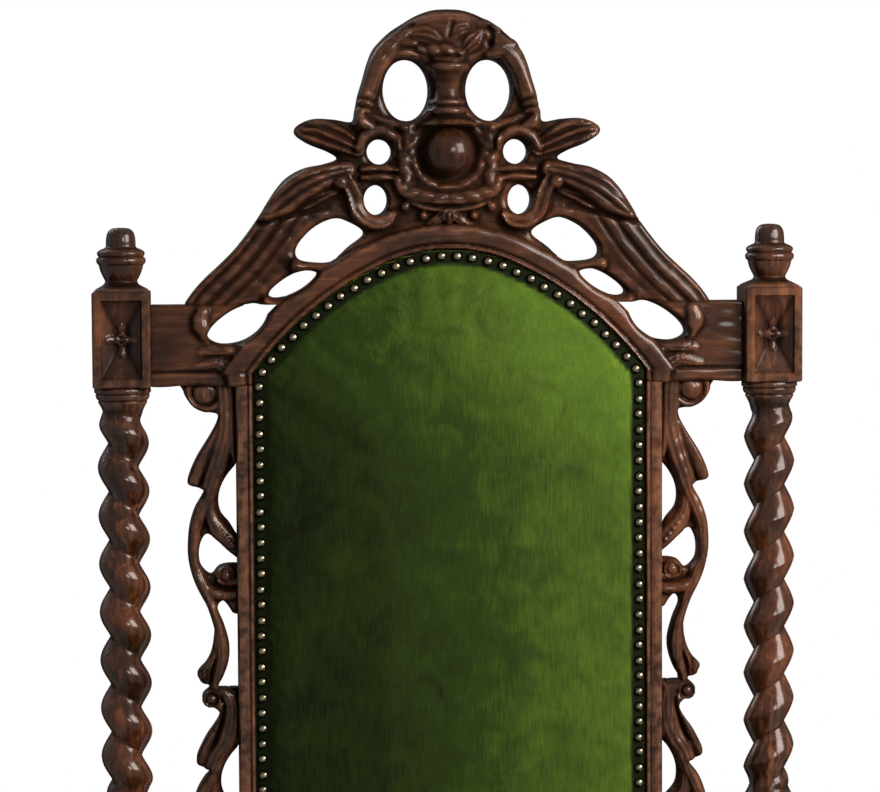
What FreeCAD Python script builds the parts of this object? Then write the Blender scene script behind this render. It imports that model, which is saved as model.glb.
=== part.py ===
import FreeCAD, Part
import Sketcher
import math
import os
import re

# A carved barley-twist throne chair with a nailed velvet back and seat.
# Millimetres, +Z up, the sitter faces -Y, origin on the floor under the middle of the chair.
# Everything above the seat belongs to the back and leans by back_rake about the rear seat blocks.
# Positions on the back are written upright as (across, forward or back, height), then leaned.

V = FreeCAD.Vector

SIZES = {
    # Plan of the chair
    "post_spread": 544.0, "seat_run": 430.0, "back_rake": 4.0, "arm_reach": 60.0,
    # Feet and front posts, from the floor up
    "post_square": 48.0, "foot_tall": 55.0, "foot_radius": 27.0, "foot_pad": 18.0, "foot_neck": 15.0,
    "spigot_radius": 10.0, "spigot_long": 25.0, "ankle_tall": 40.0, "low_block_tall": 70.0,
    "leg_collar": 20.0, "leg_twist": 145.0, "seat_block_tall": 95.0, "arm_twist": 165.0,
    # Rear posts above the seat
    "neck_tall": 55.0, "neck_sink": 10.0, "rail_block_tall": 90.0, "vase_tall": 55.0,
    "arm_block_tall": 77.0, "post_collar": 20.0, "post_twist": 326.0, "top_block_tall": 80.0,
    # Turning and twist
    "collar_radius": 23.5, "turn_slim": 15.0, "belly_radius": 22.0, "collar_lip": 0.75,
    "twist_root": 14.0, "twist_ridge": 7.25, "twist_pitch": 40.4, "twist_start": 330.0,
    "panel_margin": 7.0, "panel_deep": 6.0, "panel_floor": 8.0,
    # Finials
    "finial_bore": 7.0, "finial_spigot": 18.0, "finial_neck": 13.0, "finial_ring": 20.5,
    "finial_dome": 16.0, "finial_tall": 53.0,
    # Joints
    "tenon_long": 20.0, "tenon_thick": 10.0, "tenon_margin": 10.0, "fit_gap": 0.2, "end_gap": 0.8,
    "peg_radius": 3.5, "peg_long": 34.0, "dowel_radius": 4.0, "dowel_long": 24.0,
    # Seat frame
    "rail_tall": 70.0, "rail_thick": 28.0, "rail_setback": 6.0, "rail_rise": 12.0,
    "brace_tall": 40.0, "brace_near": 50.0, "brace_far": 88.0,
    # Stretchers
    "stretcher_root": 10.0, "stretcher_ridge": 6.0, "stretcher_pitch": 36.0, "stretcher_collar": 20.0,
    "stretcher_square": 40.0, "stretcher_block": 70.0, "stretcher_radius": 18.0,
    "stretcher_tenon": 9.0, "stretcher_tenon_long": 15.0, "cross_ball": 23.0, "cross_ball_long": 60.0,
    # Arms
    "arm_wide": 50.0, "arm_thick": 38.0, "arm_scroll": 24.0, "arm_scroll_lift": 2.0, "arm_sag": 1500.0,
    "arm_flare": 22.0, "arm_flare_rise": 12.0, "arm_tenon_tall": 26.0, "arm_spigot": 11.0,
    # Back frame
    "back_thick": 34.0, "opening_half": 164.6, "stile_face": 13.9, "ledge_wide": 16.0, "ledge_deep": 8.0,
    "back_rail_rise": 10.0, "back_rail_tall": 70.0, "shoulder_rise": 1.0, "shoulder_tall": 67.0,
    "spring_rise": 10.0, "arch_rise": 102.0, "arch_band": 21.0, "crown_radius": 132.0,
    "crown_turn": 25.0, "crest_rise": 199.0, "boss_radius": 20.0, "boss_proud": 10.0,
    "boss_rise": 80.5, "boss_spigot": 6.0, "fret_thick": 22.0, "fret_front": 14.0,
    # Upholstery
    "webbing_wide": 50.0, "webbing_thick": 1.5, "hessian_thick": 1.0, "cover_thick": 2.0,
    "cloth_thick": 1.0, "lining_thick": 1.5, "edge_gap": 0.5, "nail_radius": 5.2, "nail_tall": 4.0,
    "nail_pitch": 13.0, "nail_inset": 7.0, "nail_gap": 0.8, "back_crown": 20.0, "crown_reach": 67.0,
    "seat_crown": 42.0, "seat_swell": 4.0, "seat_reach": 90.0, "seat_gap": 1.0, "skirt_drop": 60.0, "hem_margin": 10.0,
}

# Levels and lines that follow from the sizes
LEVELS = {
    "post_half": "post_square / 2",
    "post_x": "post_spread / 2",
    "block_inner": "post_x - post_half",
    "low_block_low": "foot_tall + ankle_tall",
    "low_block_top": "low_block_low + low_block_tall",
    "stretcher_level": "low_block_low + low_block_tall / 2",
    "leg_twist_low": "low_block_top + leg_collar",
    "leg_twist_top": "leg_twist_low + leg_twist",
    "seat_block_low": "leg_twist_top + leg_collar",
    "seat_block_top": "seat_block_low + seat_block_tall",
    "rail_low": "seat_block_low + rail_rise",
    "rail_top": "rail_low + rail_tall",
    "rail_face": "post_half - rail_setback",
    "rail_inner": "rail_face - rail_thick",
    "arm_twist_low": "seat_block_top + leg_collar",
    "arm_twist_top": "arm_twist_low + arm_twist",
    "arm_seat": "arm_twist_top + leg_collar",
    "rail_block_low": "seat_block_top + neck_tall",
    "vase_low": "rail_block_low + rail_block_tall",
    "arm_block_low": "vase_low + vase_tall",
    "arm_block_mid": "arm_block_low + arm_block_tall / 2",
    "arm_block_top": "arm_block_low + arm_block_tall",
    "post_twist_low": "arm_block_top + post_collar",
    "post_twist_top": "post_twist_low + post_twist",
    "top_block_low": "post_twist_top + post_collar",
    "top_block_top": "top_block_low + top_block_tall",
    "twist_outer": "twist_root + twist_ridge",
    "back_rail_low": "rail_block_low + back_rail_rise",
    "back_rail_top": "back_rail_low + back_rail_tall",
    "panel_foot": "back_rail_top - ledge_wide",
    "stile_outer": "opening_half + stile_face",
    "stile_inner": "opening_half - ledge_wide",
    "stile_wide": "stile_face + ledge_wide",
    "shoulder_low": "top_block_low + shoulder_rise",
    "shoulder_top": "shoulder_low + shoulder_tall",
    "arch_spring": "shoulder_low + spring_rise",
    "arch_apex": "arch_spring + arch_rise",
    "crest_top": "arch_apex + crest_rise",
    "ledge_face": "back_thick / 2 - ledge_deep",
    "hessian_front": "ledge_face + 2 * webbing_thick + hessian_thick",
    "pad_margin": "nail_inset + nail_radius + nail_gap + cover_thick",
    "pad_floor": "rail_top + 2 * webbing_thick + hessian_thick",
    "stretcher_outer": "stretcher_root + stretcher_ridge",
    "side_stretcher_long": "seat_run - post_square",
    "cross_stretcher_long": "post_spread - stretcher_square",
}

doc = FreeCAD.newDocument("throne_chair")
sheet = doc.addObject("Spreadsheet::Sheet", "Dims")
for row, (alias, plain) in enumerate(SIZES.items(), start=1):
    sheet.set(f"A{row}", alias)
    sheet.set(f"B{row}", str(plain))
    sheet.setAlias(f"B{row}", alias)
doc.recompute()

SUBPARTS = {}


def spelled(text):
    """Expression text with every level traced back to cells of the sheet."""
    def cell(match):
        word = match.group(0)
        if word in LEVELS:
            return "(" + spelled(LEVELS[word]) + ")"
        if word in SIZES:
            return "Dims." + word
        return word
    return re.sub(r"[a-z_]+", cell, text)


def value(text):
    """The number that an expression gives with the sheet's present sizes."""
    return float(sheet.evalExpression(spelled(text)))


def number(item):
    return value(item) if isinstance(item, str) else float(item)


def point(items):
    return V(*[number(item) for item in items])


rake = math.radians(value("back_rake"))
rear_reach = (math.sin(rake) * value("crest_top - seat_block_top")
              + math.cos(rake) * value("back_thick / 2"))
front_line = (value("arm_reach - seat_run") - rear_reach) / 2
rear_line = front_line + value("seat_run")
LEAN = FreeCAD.Placement(V(0, rear_line, 0), FreeCAD.Rotation(V(1, 0, 0), -value("back_rake")),
                         V(0, 0, value("seat_block_top")))
UPRIGHT = FreeCAD.Placement()


def placed(obj, at, raked, turn=None):
    """Puts an object at a point of the upright chair or, when raked, of the leaning back."""
    local = FreeCAD.Placement(point(at), turn or FreeCAD.Rotation())
    obj.Placement = (LEAN if raked else UPRIGHT).multiply(local)
    return obj


def named(label, obj):
    """Registers a finished sub-part under the name of its file."""
    obj.Label = label
    SUBPARTS[label] = obj
    return obj


def box(name, size, low, raked=False):
    obj = doc.addObject("Part::Box", name)
    for side, text in zip(("Length", "Width", "Height"), size):
        obj.setExpression(side, spelled(text))
    return placed(obj, low, raked)


def mortise(name, size, low, raked=False):
    """The hollow for a tenon of the same size and place: the fit gap on every side."""
    grown = [f"{text} + 2 * fit_gap" for text in size]
    start = [number(item) - value("fit_gap") for item in low]
    return box(name, grown, start, raked)


def rod(name, radius, long, start, axis, raked=False):
    """A round bar from a start point along an axis."""
    obj = doc.addObject("Part::Cylinder", name)
    obj.setExpression("Radius", spelled(radius))
    obj.setExpression("Height", spelled(long))
    return placed(obj, start, raked, FreeCAD.Rotation(V(0, 0, 1), V(*axis)))


def fused(name, members):
    obj = doc.addObject("Part::MultiFuse", name)
    obj.Shapes = members
    obj.Refine = True
    return obj


def cut(name, base, tools):
    obj = doc.addObject("Part::Cut", name)
    obj.Base = base
    obj.Tool = tools[0] if len(tools) == 1 else fused(name + "_hollows", tools)
    return obj


def mirrored(label, source):
    """The right-hand partner of a left-hand piece."""
    obj = doc.addObject("Part::Mirroring", label)
    obj.Source = source
    obj.Normal = V(1, 0, 0)
    return named(label, obj)


def group(label, members):
    obj = doc.addObject("Part::Compound", label)
    obj.Links = members
    return named(label, obj)


def shaped(name, shape, raked=False):
    """A piece whose outline no primitive gives, set from a worked-out shape."""
    obj = doc.addObject("Part::Feature", name)
    obj.Shape = shape
    obj.Placement = LEAN if raked else UPRIGHT
    return obj


def arc_between(start, end, radius, left):
    """Arc from start to end of a given radius; left puts its bulge left of the way travelled."""
    chord = end - start
    half = chord.Length / 2
    rise = radius - math.sqrt(radius * radius - half * half)
    side = V(-chord.y, chord.x, 0).normalize()
    middle = (start + end) / 2 + side * (rise if left else -rise)
    return Part.Arc(start, middle, end)


def drawn(body, name, plane, outline):
    """A closed sketch whose corners are bound to the sheet.

    outline: (across, up) or (across, up, radius, left) where an arc of that radius leads on.
    """
    sketch = body.newObject("Sketcher::SketchObject", name)
    support = [item for item in body.Origin.OriginFeatures if item.Role == plane][0]
    sketch.AttachmentSupport = [(support, "")]
    sketch.MapMode = "FlatFace"
    corners = [V(value(corner[0]), value(corner[1]), 0) for corner in outline]
    starts = []
    ends = []
    for index, corner in enumerate(outline):
        here = corners[index]
        there = corners[(index + 1) % len(corners)]
        if len(corner) == 2:
            edge = sketch.addGeometry(Part.LineSegment(here, there), False)
        else:
            edge = sketch.addGeometry(arc_between(here, there, value(corner[2]), corner[3]), False)
            radius = sketch.addConstraint(Sketcher.Constraint("Radius", edge, value(corner[2])))
            sketch.setExpression(f"Constraints[{radius}]", spelled(corner[2]))
        forward = sketch.getPoint(edge, 1).distanceToPoint(here) < 1e-6
        starts.append((edge, 1 if forward else 2))
        ends.append((edge, 2 if forward else 1))
    for index, corner in enumerate(outline):
        sketch.addConstraint(Sketcher.Constraint("Coincident", *ends[index - 1], *starts[index]))
        for kind, axis, text in (("DistanceX", -2, corner[0]), ("DistanceY", -1, corner[1])):
            if abs(value(text)) < 1e-9:
                sketch.addConstraint(Sketcher.Constraint("PointOnObject", *starts[index], axis))
            else:
                bound = sketch.addConstraint(
                    Sketcher.Constraint(kind, -1, 1, *starts[index], value(text)))
                sketch.setExpression(f"Constraints[{bound}]", spelled(text))
    return sketch


def turned(name, outline, at, raked=False):
    """A turning: the outline of radius and height, spun about its upright axis."""
    body = doc.addObject("PartDesign::Body", name)
    sketch = drawn(body, name + "_outline", "XZ_Plane", outline)
    spin = body.newObject("PartDesign::Revolution", name + "_spin")
    spin.Profile = sketch
    spin.ReferenceAxis = (sketch, ["V_Axis"])
    spin.Angle = 360
    return placed(body, at, raked)


def padded_outline(name, plane, outline, thick, at, both_ways=False):
    """A flat outline given a thickness."""
    body = doc.addObject("PartDesign::Body", name)
    sketch = drawn(body, name + "_outline", plane, outline)
    pad = body.newObject("PartDesign::Pad", name + "_pad")
    pad.Profile = sketch
    pad.SideType = "Symmetric" if both_ways else "One side"
    pad.setExpression("Length", spelled(thick))
    return placed(body, at, False)


def dome_radius(reach, rise):
    """Radius of a dome whose rim and height are given."""
    return f"(({reach}) * ({reach}) + ({rise}) * ({rise})) / (2 * ({rise}))"


def spindle(name, tall, at, raked=False):
    """A turned baluster between two blocks: collar, waist, belly, waist, collar."""
    steps = (("collar_radius", 0), ("collar_radius", 0.15), ("turn_slim", 0.35), ("belly_radius", 0.5),
             ("turn_slim", 0.65), ("collar_radius", 0.85), ("collar_radius", 1))
    outline = [("0", "0")]
    outline += [(radius, f"({tall}) * {share}") for radius, share in steps]
    outline += [("0", tall)]
    return turned(name, outline, at, raked)


def collar(name, tall, at, twist_above, raked=False):
    """A turned collar that narrows from the block's width to the twist's."""
    lip = "twist_outer + collar_lip"
    near, far = ("collar_radius", lip) if twist_above else (lip, "collar_radius")
    middle = 0.4 if twist_above else 0.6
    outline = [("0", "0"), (near, "0"), ("collar_radius", f"({tall}) * {middle}"), (far, tall), ("0", tall)]
    return turned(name, outline, at, raked)


def twist(name, root, ridge, pitch, tall, at, start=0.0, raked=False):
    """Single-start barley twist: the section root + ridge * sin(angle / 2) turned left as it rises."""
    steps = 12
    section = []
    for step in range(steps + 1):
        angle = 2 * math.pi * step / steps
        reach = value(root) + value(ridge) * math.sin(angle / 2)
        heading = angle + math.radians(start)
        section.append(V(reach * math.cos(heading), reach * math.sin(heading), 0))
    rim = Part.BSplineCurve()
    rim.interpolate(section)
    length = value(tall)
    spine = Part.Wire([Part.LineSegment(V(0, 0, 0), V(0, 0, length)).toShape()])
    guide = Part.makeHelix(value(pitch), length, 2 * value(root), 0, True)
    shell = Part.BRepOffsetAPI.MakePipeShell(spine)
    shell.setAuxiliarySpine(Part.Wire(guide.Edges), False, 0)
    shell.add(Part.Wire([rim.toShape()]))
    shell.build()
    shell.makeSolid()
    return placed(shaped(name, shell.shape()), at, raked)


def sunk_panel(name, tall, at, raked=False):
    """A four-sided hollow in a block's front face, sloping in to a small flat floor."""
    half_wide = "(post_half - panel_margin)"
    half_tall = f"(({tall}) / 2 - panel_margin)"
    obj = doc.addObject("Part::Wedge", name)
    sides = {"Xmin": f"-{half_wide}", "Xmax": half_wide, "Zmin": f"-{half_tall}", "Zmax": half_tall,
             "Ymin": "0", "Ymax": "panel_deep", "X2min": "-panel_floor / 2", "X2max": "panel_floor / 2",
             "Z2min": "-panel_floor / 2", "Z2max": "panel_floor / 2"}
    for side, text in sides.items():
        obj.setExpression(side, spelled(text))
    return placed(obj, at, raked)


# Tenons: size and low corner, shared by the piece that has the tenon and the post that takes it

tenon_reach = "tenon_long"
rail_tenon_tall = "rail_tall - 2 * tenon_margin"
rail_tenon_low = "rail_low + tenon_margin"
rail_tenon_mid = "rail_inner + rail_thick / 2"


def cross_tenon(line, front):
    """Left tenon of the front or rear seat rail."""
    middle = line + (-1 if front else 1) * value(rail_tenon_mid)
    size = (tenon_reach, "tenon_thick", rail_tenon_tall)
    low = ("-block_inner - tenon_long", middle - value("tenon_thick / 2"), rail_tenon_low)
    return size, low


def side_tenon(line, front):
    """Front or rear tenon of the left seat rail."""
    start = line + (value("post_half - tenon_long") if front else -value("post_half"))
    size = ("tenon_thick", tenon_reach, rail_tenon_tall)
    low = (f"-post_x - ({rail_tenon_mid}) - tenon_thick / 2", start, rail_tenon_low)
    return size, low


def back_rail_tenon():
    size = (tenon_reach, "tenon_thick", "back_rail_tall - 2 * tenon_margin")
    return size, ("-block_inner - tenon_long", "-tenon_thick / 2", "back_rail_low + tenon_margin")


def crest_tenon():
    size = (tenon_reach, "tenon_thick", "shoulder_tall - 2 * tenon_margin")
    return size, ("-block_inner - tenon_long", "-tenon_thick / 2", "shoulder_low + tenon_margin")


def arm_tenon():
    size = ("tenon_thick", "tenon_long", "arm_tenon_tall")
    return size, ("-post_x - tenon_thick / 2", "-post_half", "arm_block_mid - arm_tenon_tall / 2")


def stile_tenon(top):
    size = ("stile_wide - tenon_margin", "tenon_thick", "tenon_long")
    low = "shoulder_low" if top else "back_rail_top - tenon_long"
    return size, ("-stile_outer + tenon_margin / 2", "ledge_deep - tenon_thick / 2", low)


def other_side(size, low):
    """The same box on the right of the chair."""
    return size, (-number(low[0]) - value(size[0]), low[1], low[2])


# Pegs: start point and axis of each left-hand peg, shared by the pegs and their holes

def peg_places():
    mid_tenon = "tenon_long / 2"
    outer = "-post_x - post_half"
    rail_mid = "rail_low + rail_tall / 2"
    front_y = front_line + value(f"post_half - {mid_tenon}")
    rear_y = rear_line - value(f"post_half - {mid_tenon}")
    return {
        "crest": ((f"-block_inner - {mid_tenon}", "post_half", "shoulder_low + shoulder_tall / 2"),
                  (0, -1, 0), True),
        "back_rail": ((f"-block_inner - {mid_tenon}", "post_half", "back_rail_low + back_rail_tall / 2"),
                      (0, -1, 0), True),
        "arm": ((outer, f"-post_half + {mid_tenon}", "arm_block_mid"), (1, 0, 0), True),
        "rail_front": ((outer, front_y, rail_mid), (1, 0, 0), False),
        "rail_rear": ((outer, rear_y, rail_mid), (1, 0, 0), False),
    }


def peg_hole(owner, which):
    start, axis, raked = peg_places()[which]
    hole = rod(f"{owner}_{which}_peg_hole", "peg_radius + fit_gap", "peg_long + end_gap", start, axis, raked)
    return hole


def right_peg_hole(owner, which):
    start, axis, raked = peg_places()[which]
    swung = (-number(start[0]), start[1], start[2])
    return rod(f"{owner}_{which}_right_peg_hole", "peg_radius + fit_gap", "peg_long + end_gap",
               swung, (-axis[0], axis[1], axis[2]), raked)


def make_joint_pegs():
    pegs = []
    for which, (start, axis, raked) in peg_places().items():
        left = rod(f"peg_{which}_left", "peg_radius", "peg_long", start, axis, raked)
        swung = (-number(start[0]), start[1], start[2])
        right = rod(f"peg_{which}_right", "peg_radius", "peg_long", swung, (-axis[0], axis[1], axis[2]), raked)
        pegs += [left, right]
    group("joint_pegs", pegs)


# Posts and feet

def post_block(name, low, tall, line, raked=False):
    y = "-post_half" if raked else line - value("post_half")
    return box(name, ("post_square", "post_square", tall), ("-post_x - post_half", y, low), raked)


def make_rear_posts():
    name = "rear_post_left"
    axis = ("-post_x", 0)
    seat_level = "seat_block_top - neck_sink"
    solids = [
        post_block(f"{name}_leg", "foot_tall", "seat_block_top - foot_tall", rear_line),
        spindle(f"{name}_neck", "neck_tall + neck_sink", (*axis, seat_level), True),
        post_block(f"{name}_rail_block", "rail_block_low", "rail_block_tall", 0, True),
        spindle(f"{name}_vase", "vase_tall", (*axis, "vase_low"), True),
        post_block(f"{name}_arm_block", "arm_block_low", "arm_block_tall", 0, True),
        collar(f"{name}_low_collar", "post_collar", (*axis, "arm_block_top"), True, True),
        twist(f"{name}_twist", "twist_root", "twist_ridge", "twist_pitch", "post_twist",
              (*axis, "post_twist_low"), value("twist_start"), True),
        collar(f"{name}_high_collar", "post_collar", (*axis, "post_twist_top"), False, True),
        post_block(f"{name}_top_block", "top_block_low", "top_block_tall", 0, True),
    ]
    hollows = [
        mortise(f"{name}_rear_rail_mortise", *cross_tenon(rear_line, False)),
        mortise(f"{name}_side_rail_mortise", *side_tenon(rear_line, False)),
        mortise(f"{name}_back_rail_mortise", *back_rail_tenon(), True),
        mortise(f"{name}_crest_mortise", *crest_tenon(), True),
        mortise(f"{name}_arm_mortise", *arm_tenon(), True),
        rod(f"{name}_foot_bore", "spigot_radius + fit_gap", "spigot_long + end_gap",
            ("-post_x", rear_line, "foot_tall"), (0, 0, 1)),
        rod(f"{name}_stretcher_bore", "stretcher_tenon + fit_gap", "stretcher_tenon_long + end_gap",
            ("-post_x", rear_line - value("post_half"), "stretcher_level"), (0, 1, 0)),
        rod(f"{name}_finial_bore", "finial_bore + fit_gap", "finial_spigot + end_gap",
            ("-post_x", 0, "top_block_top"), (0, 0, -1), True),
        sunk_panel(f"{name}_top_panel", "top_block_tall",
                   ("-post_x", "-post_half", "top_block_low + top_block_tall / 2"), True),
    ]
    hollows += [peg_hole(name, which) for which in ("crest", "back_rail", "arm", "rail_rear")]
    left = named(name, cut(name, fused(f"{name}_turned", solids), hollows))
    mirrored("rear_post_right", left)


def make_front_posts():
    name = "front_post_left"
    axis = ("-post_x", front_line)
    turning = ("twist_root", "twist_ridge", "twist_pitch")
    solids = [
        spindle(f"{name}_ankle", "ankle_tall", (*axis, "foot_tall")),
        post_block(f"{name}_low_block", "low_block_low", "low_block_tall", front_line),
        collar(f"{name}_leg_collar", "leg_collar", (*axis, "low_block_top"), True),
        twist(f"{name}_leg_twist", *turning, "leg_twist", (*axis, "leg_twist_low")),
        collar(f"{name}_seat_collar", "leg_collar", (*axis, "leg_twist_top"), False),
        post_block(f"{name}_seat_block", "seat_block_low", "seat_block_tall", front_line),
        collar(f"{name}_arm_collar", "leg_collar", (*axis, "seat_block_top"), True),
        twist(f"{name}_arm_twist", *turning, "arm_twist", (*axis, "arm_twist_low")),
        collar(f"{name}_top_collar", "leg_collar", (*axis, "arm_twist_top"), False),
        rod(f"{name}_spigot", "arm_spigot", "spigot_long", (*axis, "arm_seat"), (0, 0, 1)),
    ]
    face = front_line - value("post_half")
    hollows = [
        mortise(f"{name}_front_rail_mortise", *cross_tenon(front_line, True)),
        mortise(f"{name}_side_rail_mortise", *side_tenon(front_line, True)),
        rod(f"{name}_foot_bore", "spigot_radius + fit_gap", "spigot_long + end_gap",
            (*axis, "foot_tall"), (0, 0, 1)),
        rod(f"{name}_stretcher_bore", "stretcher_tenon + fit_gap", "stretcher_tenon_long + end_gap",
            ("-post_x", front_line + value("post_half"), "stretcher_level"), (0, -1, 0)),
        sunk_panel(f"{name}_seat_panel", "seat_block_tall",
                   ("-post_x", face, "seat_block_low + seat_block_tall / 2")),
        sunk_panel(f"{name}_low_panel", "low_block_tall", ("-post_x", face, "stretcher_level")),
        peg_hole(name, "rail_front"),
    ]
    left = named(name, cut(name, fused(f"{name}_turned", solids), hollows))
    mirrored("front_post_right", left)


def make_feet():
    """Bun feet: a flat pad, a round bun and a neck under the post, with a spigot up into it."""
    outline = [
        ("0", "0"), ("foot_pad", "0", "foot_tall * 0.7", False),
        ("foot_radius", "foot_tall * 0.4", "foot_tall * 0.7", False),
        ("foot_neck", "foot_tall * 0.85"), ("collar_radius", "foot_tall"), ("spigot_radius", "foot_tall"),
        ("spigot_radius", "foot_tall + spigot_long"), ("0", "foot_tall + spigot_long"),
    ]
    for end, line in (("front", front_line), ("rear", rear_line)):
        left = turned(f"foot_{end}_left", outline, ("-post_x", line, 0))
        named(f"foot_{end}_left", left)
        mirrored(f"foot_{end}_right", left)


def make_finials():
    """Turned caps: a neck, a ring and a low dome, with a spigot down into the post."""
    foot = "finial_spigot"
    outline = [
        ("0", "0"), ("finial_bore", "0"), ("finial_bore", foot), ("finial_ring", foot),
        ("finial_neck", f"{foot} + finial_tall * 0.12"), ("finial_dome", f"{foot} + finial_tall * 0.38"),
        ("finial_ring", f"{foot} + finial_tall * 0.44"), ("finial_ring", f"{foot} + finial_tall * 0.56"),
        ("finial_neck", f"{foot} + finial_tall * 0.68"),
        ("finial_neck", f"{foot} + finial_tall * 0.8", dome_radius("finial_neck", "finial_tall * 0.2"), False),
        ("0", f"{foot} + finial_tall"),
    ]
    left = turned("finial_left", outline, ("-post_x", 0, "top_block_top - finial_spigot"), True)
    named("finial_left", left)
    mirrored("finial_right", left)


# Seat frame and stretchers

def make_seat_rails():
    span = "2 * block_inner"
    for end, line, front in (("front", front_line, True), ("rear", rear_line, False)):
        name = f"seat_rail_{end}"
        low_y = line - value("rail_face") if front else line + value("rail_inner")
        core = box(f"{name}_core", (span, "rail_thick", "rail_tall"), ("-block_inner", low_y, "rail_low"))
        tenon = cross_tenon(line, front)
        named(name, fused(name, [core, box(f"{name}_left_tenon", *tenon),
                                 box(f"{name}_right_tenon", *other_side(*tenon))]))
    name = "seat_rail_left"
    core = box(f"{name}_core", ("rail_thick", "seat_run - post_square", "rail_tall"),
               ("-post_x - rail_face", front_line + value("post_half"), "rail_low"))
    whole = fused(f"{name}_tenoned", [core, box(f"{name}_front_tenon", *side_tenon(front_line, True)),
                                      box(f"{name}_rear_tenon", *side_tenon(rear_line, False))])
    left = named(name, cut(name, whole, [peg_hole(name, "rail_front"), peg_hole(name, "rail_rear")]))
    mirrored("seat_rail_right", left)


def make_corner_braces():
    """Bars across the inner corners of the seat frame, set against both rails."""
    inner_x = value("-post_x - rail_inner")
    corners = (("front", front_line - value("rail_inner"), 0), ("rear", rear_line + value("rail_inner"), -90))
    outline = [("brace_near", "0"), ("brace_far", "0"), ("0", "brace_far"), ("0", "brace_near")]
    for end, corner_y, turn in corners:
        name = f"corner_brace_{end}_left"
        brace = padded_outline(name, "XY_Plane", outline, "brace_tall", (0, 0, 0))
        placed(brace, (inner_x, corner_y, "rail_top - brace_tall"), False, FreeCAD.Rotation(V(0, 0, 1), turn))
        named(name, brace)
        mirrored(f"corner_brace_{end}_right", brace)


def stretcher_end(name, low, twist_above):
    """The turned end of a stretcher next to its round tenon or its block."""
    tall = "stretcher_collar"
    lip = "stretcher_outer + collar_lip"
    near, far = ("stretcher_radius", lip) if twist_above else (lip, "stretcher_radius")
    middle = 0.5
    outline = [("0", "0"), (near, "0"), ("stretcher_radius", f"{tall} * {middle}"), (far, tall), ("0", tall)]
    return turned(name, outline, (0, 0, low))


def stretcher_twist(name, long, low):
    return twist(name, "stretcher_root", "stretcher_ridge", "stretcher_pitch", long, (0, 0, low))


def make_stretchers():
    """An H: a side stretcher at each side, with a cross stretcher between their middle blocks."""
    long = "side_stretcher_long"
    run = f"(({long}) - stretcher_block - 4 * stretcher_collar) / 2"
    block_low = f"({long} - stretcher_block) / 2"
    name = "stretcher_left"
    end_tenon = "stretcher_tenon_long"
    half_square = "-stretcher_square / 2"
    solids = [
        rod(f"{name}_front_tenon", "stretcher_tenon", end_tenon, (0, 0, f"-{end_tenon}"), (0, 0, 1)),
        stretcher_end(f"{name}_front_end", "0", True),
        stretcher_twist(f"{name}_front_twist", run, "stretcher_collar"),
        stretcher_end(f"{name}_front_neck", f"{block_low} - stretcher_collar", False),
        box(f"{name}_block", ("stretcher_square", "stretcher_square", "stretcher_block"),
            (half_square, half_square, block_low)),
        stretcher_end(f"{name}_rear_neck", f"{block_low} + stretcher_block", True),
        stretcher_twist(f"{name}_rear_twist", run, f"{block_low} + stretcher_block + stretcher_collar"),
        stretcher_end(f"{name}_rear_end", f"{long} - stretcher_collar", False),
        rod(f"{name}_rear_tenon", "stretcher_tenon", end_tenon, (0, 0, long), (0, 0, 1)),
    ]
    bore = rod(f"{name}_cross_bore", "stretcher_tenon + fit_gap", f"{end_tenon} + end_gap",
               ("stretcher_square / 2", 0, f"{long} / 2"), (-1, 0, 0))
    left = cut(name, fused(f"{name}_turned", solids), [bore])
    start = ("-post_x", front_line + value("post_half"), "stretcher_level")
    placed(left, start, False, FreeCAD.Rotation(V(1, 0, 0), -90))
    named(name, left)
    mirrored("stretcher_right", left)

    name = "stretcher_cross"
    long = "cross_stretcher_long"
    run = f"(({long}) - cross_ball_long - 4 * stretcher_collar) / 2"
    ball_low = f"({long} - cross_ball_long) / 2"
    ball = [("0", "0"), ("stretcher_radius", "0"), ("cross_ball", "cross_ball_long * 0.5"),
            ("stretcher_radius", "cross_ball_long"), ("0", "cross_ball_long")]
    solids = [
        rod(f"{name}_left_tenon", "stretcher_tenon", end_tenon, (0, 0, f"-{end_tenon}"), (0, 0, 1)),
        stretcher_end(f"{name}_left_end", "0", True),
        stretcher_twist(f"{name}_left_twist", run, "stretcher_collar"),
        stretcher_end(f"{name}_left_neck", f"{ball_low} - stretcher_collar", False),
        turned(f"{name}_ball", ball, (0, 0, ball_low)),
        stretcher_end(f"{name}_right_neck", f"{ball_low} + cross_ball_long", True),
        stretcher_twist(f"{name}_right_twist", run, f"{ball_low} + cross_ball_long + stretcher_collar"),
        stretcher_end(f"{name}_right_end", f"{long} - stretcher_collar", False),
        rod(f"{name}_right_tenon", "stretcher_tenon", end_tenon, (0, 0, long), (0, 0, 1)),
    ]
    cross = fused(name, solids)
    start = ("-post_x + stretcher_square / 2", (front_line + rear_line) / 2, "stretcher_level")
    placed(cross, start, False, FreeCAD.Rotation(V(0, 1, 0), 90))
    named(name, cross)


# Arms

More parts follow.
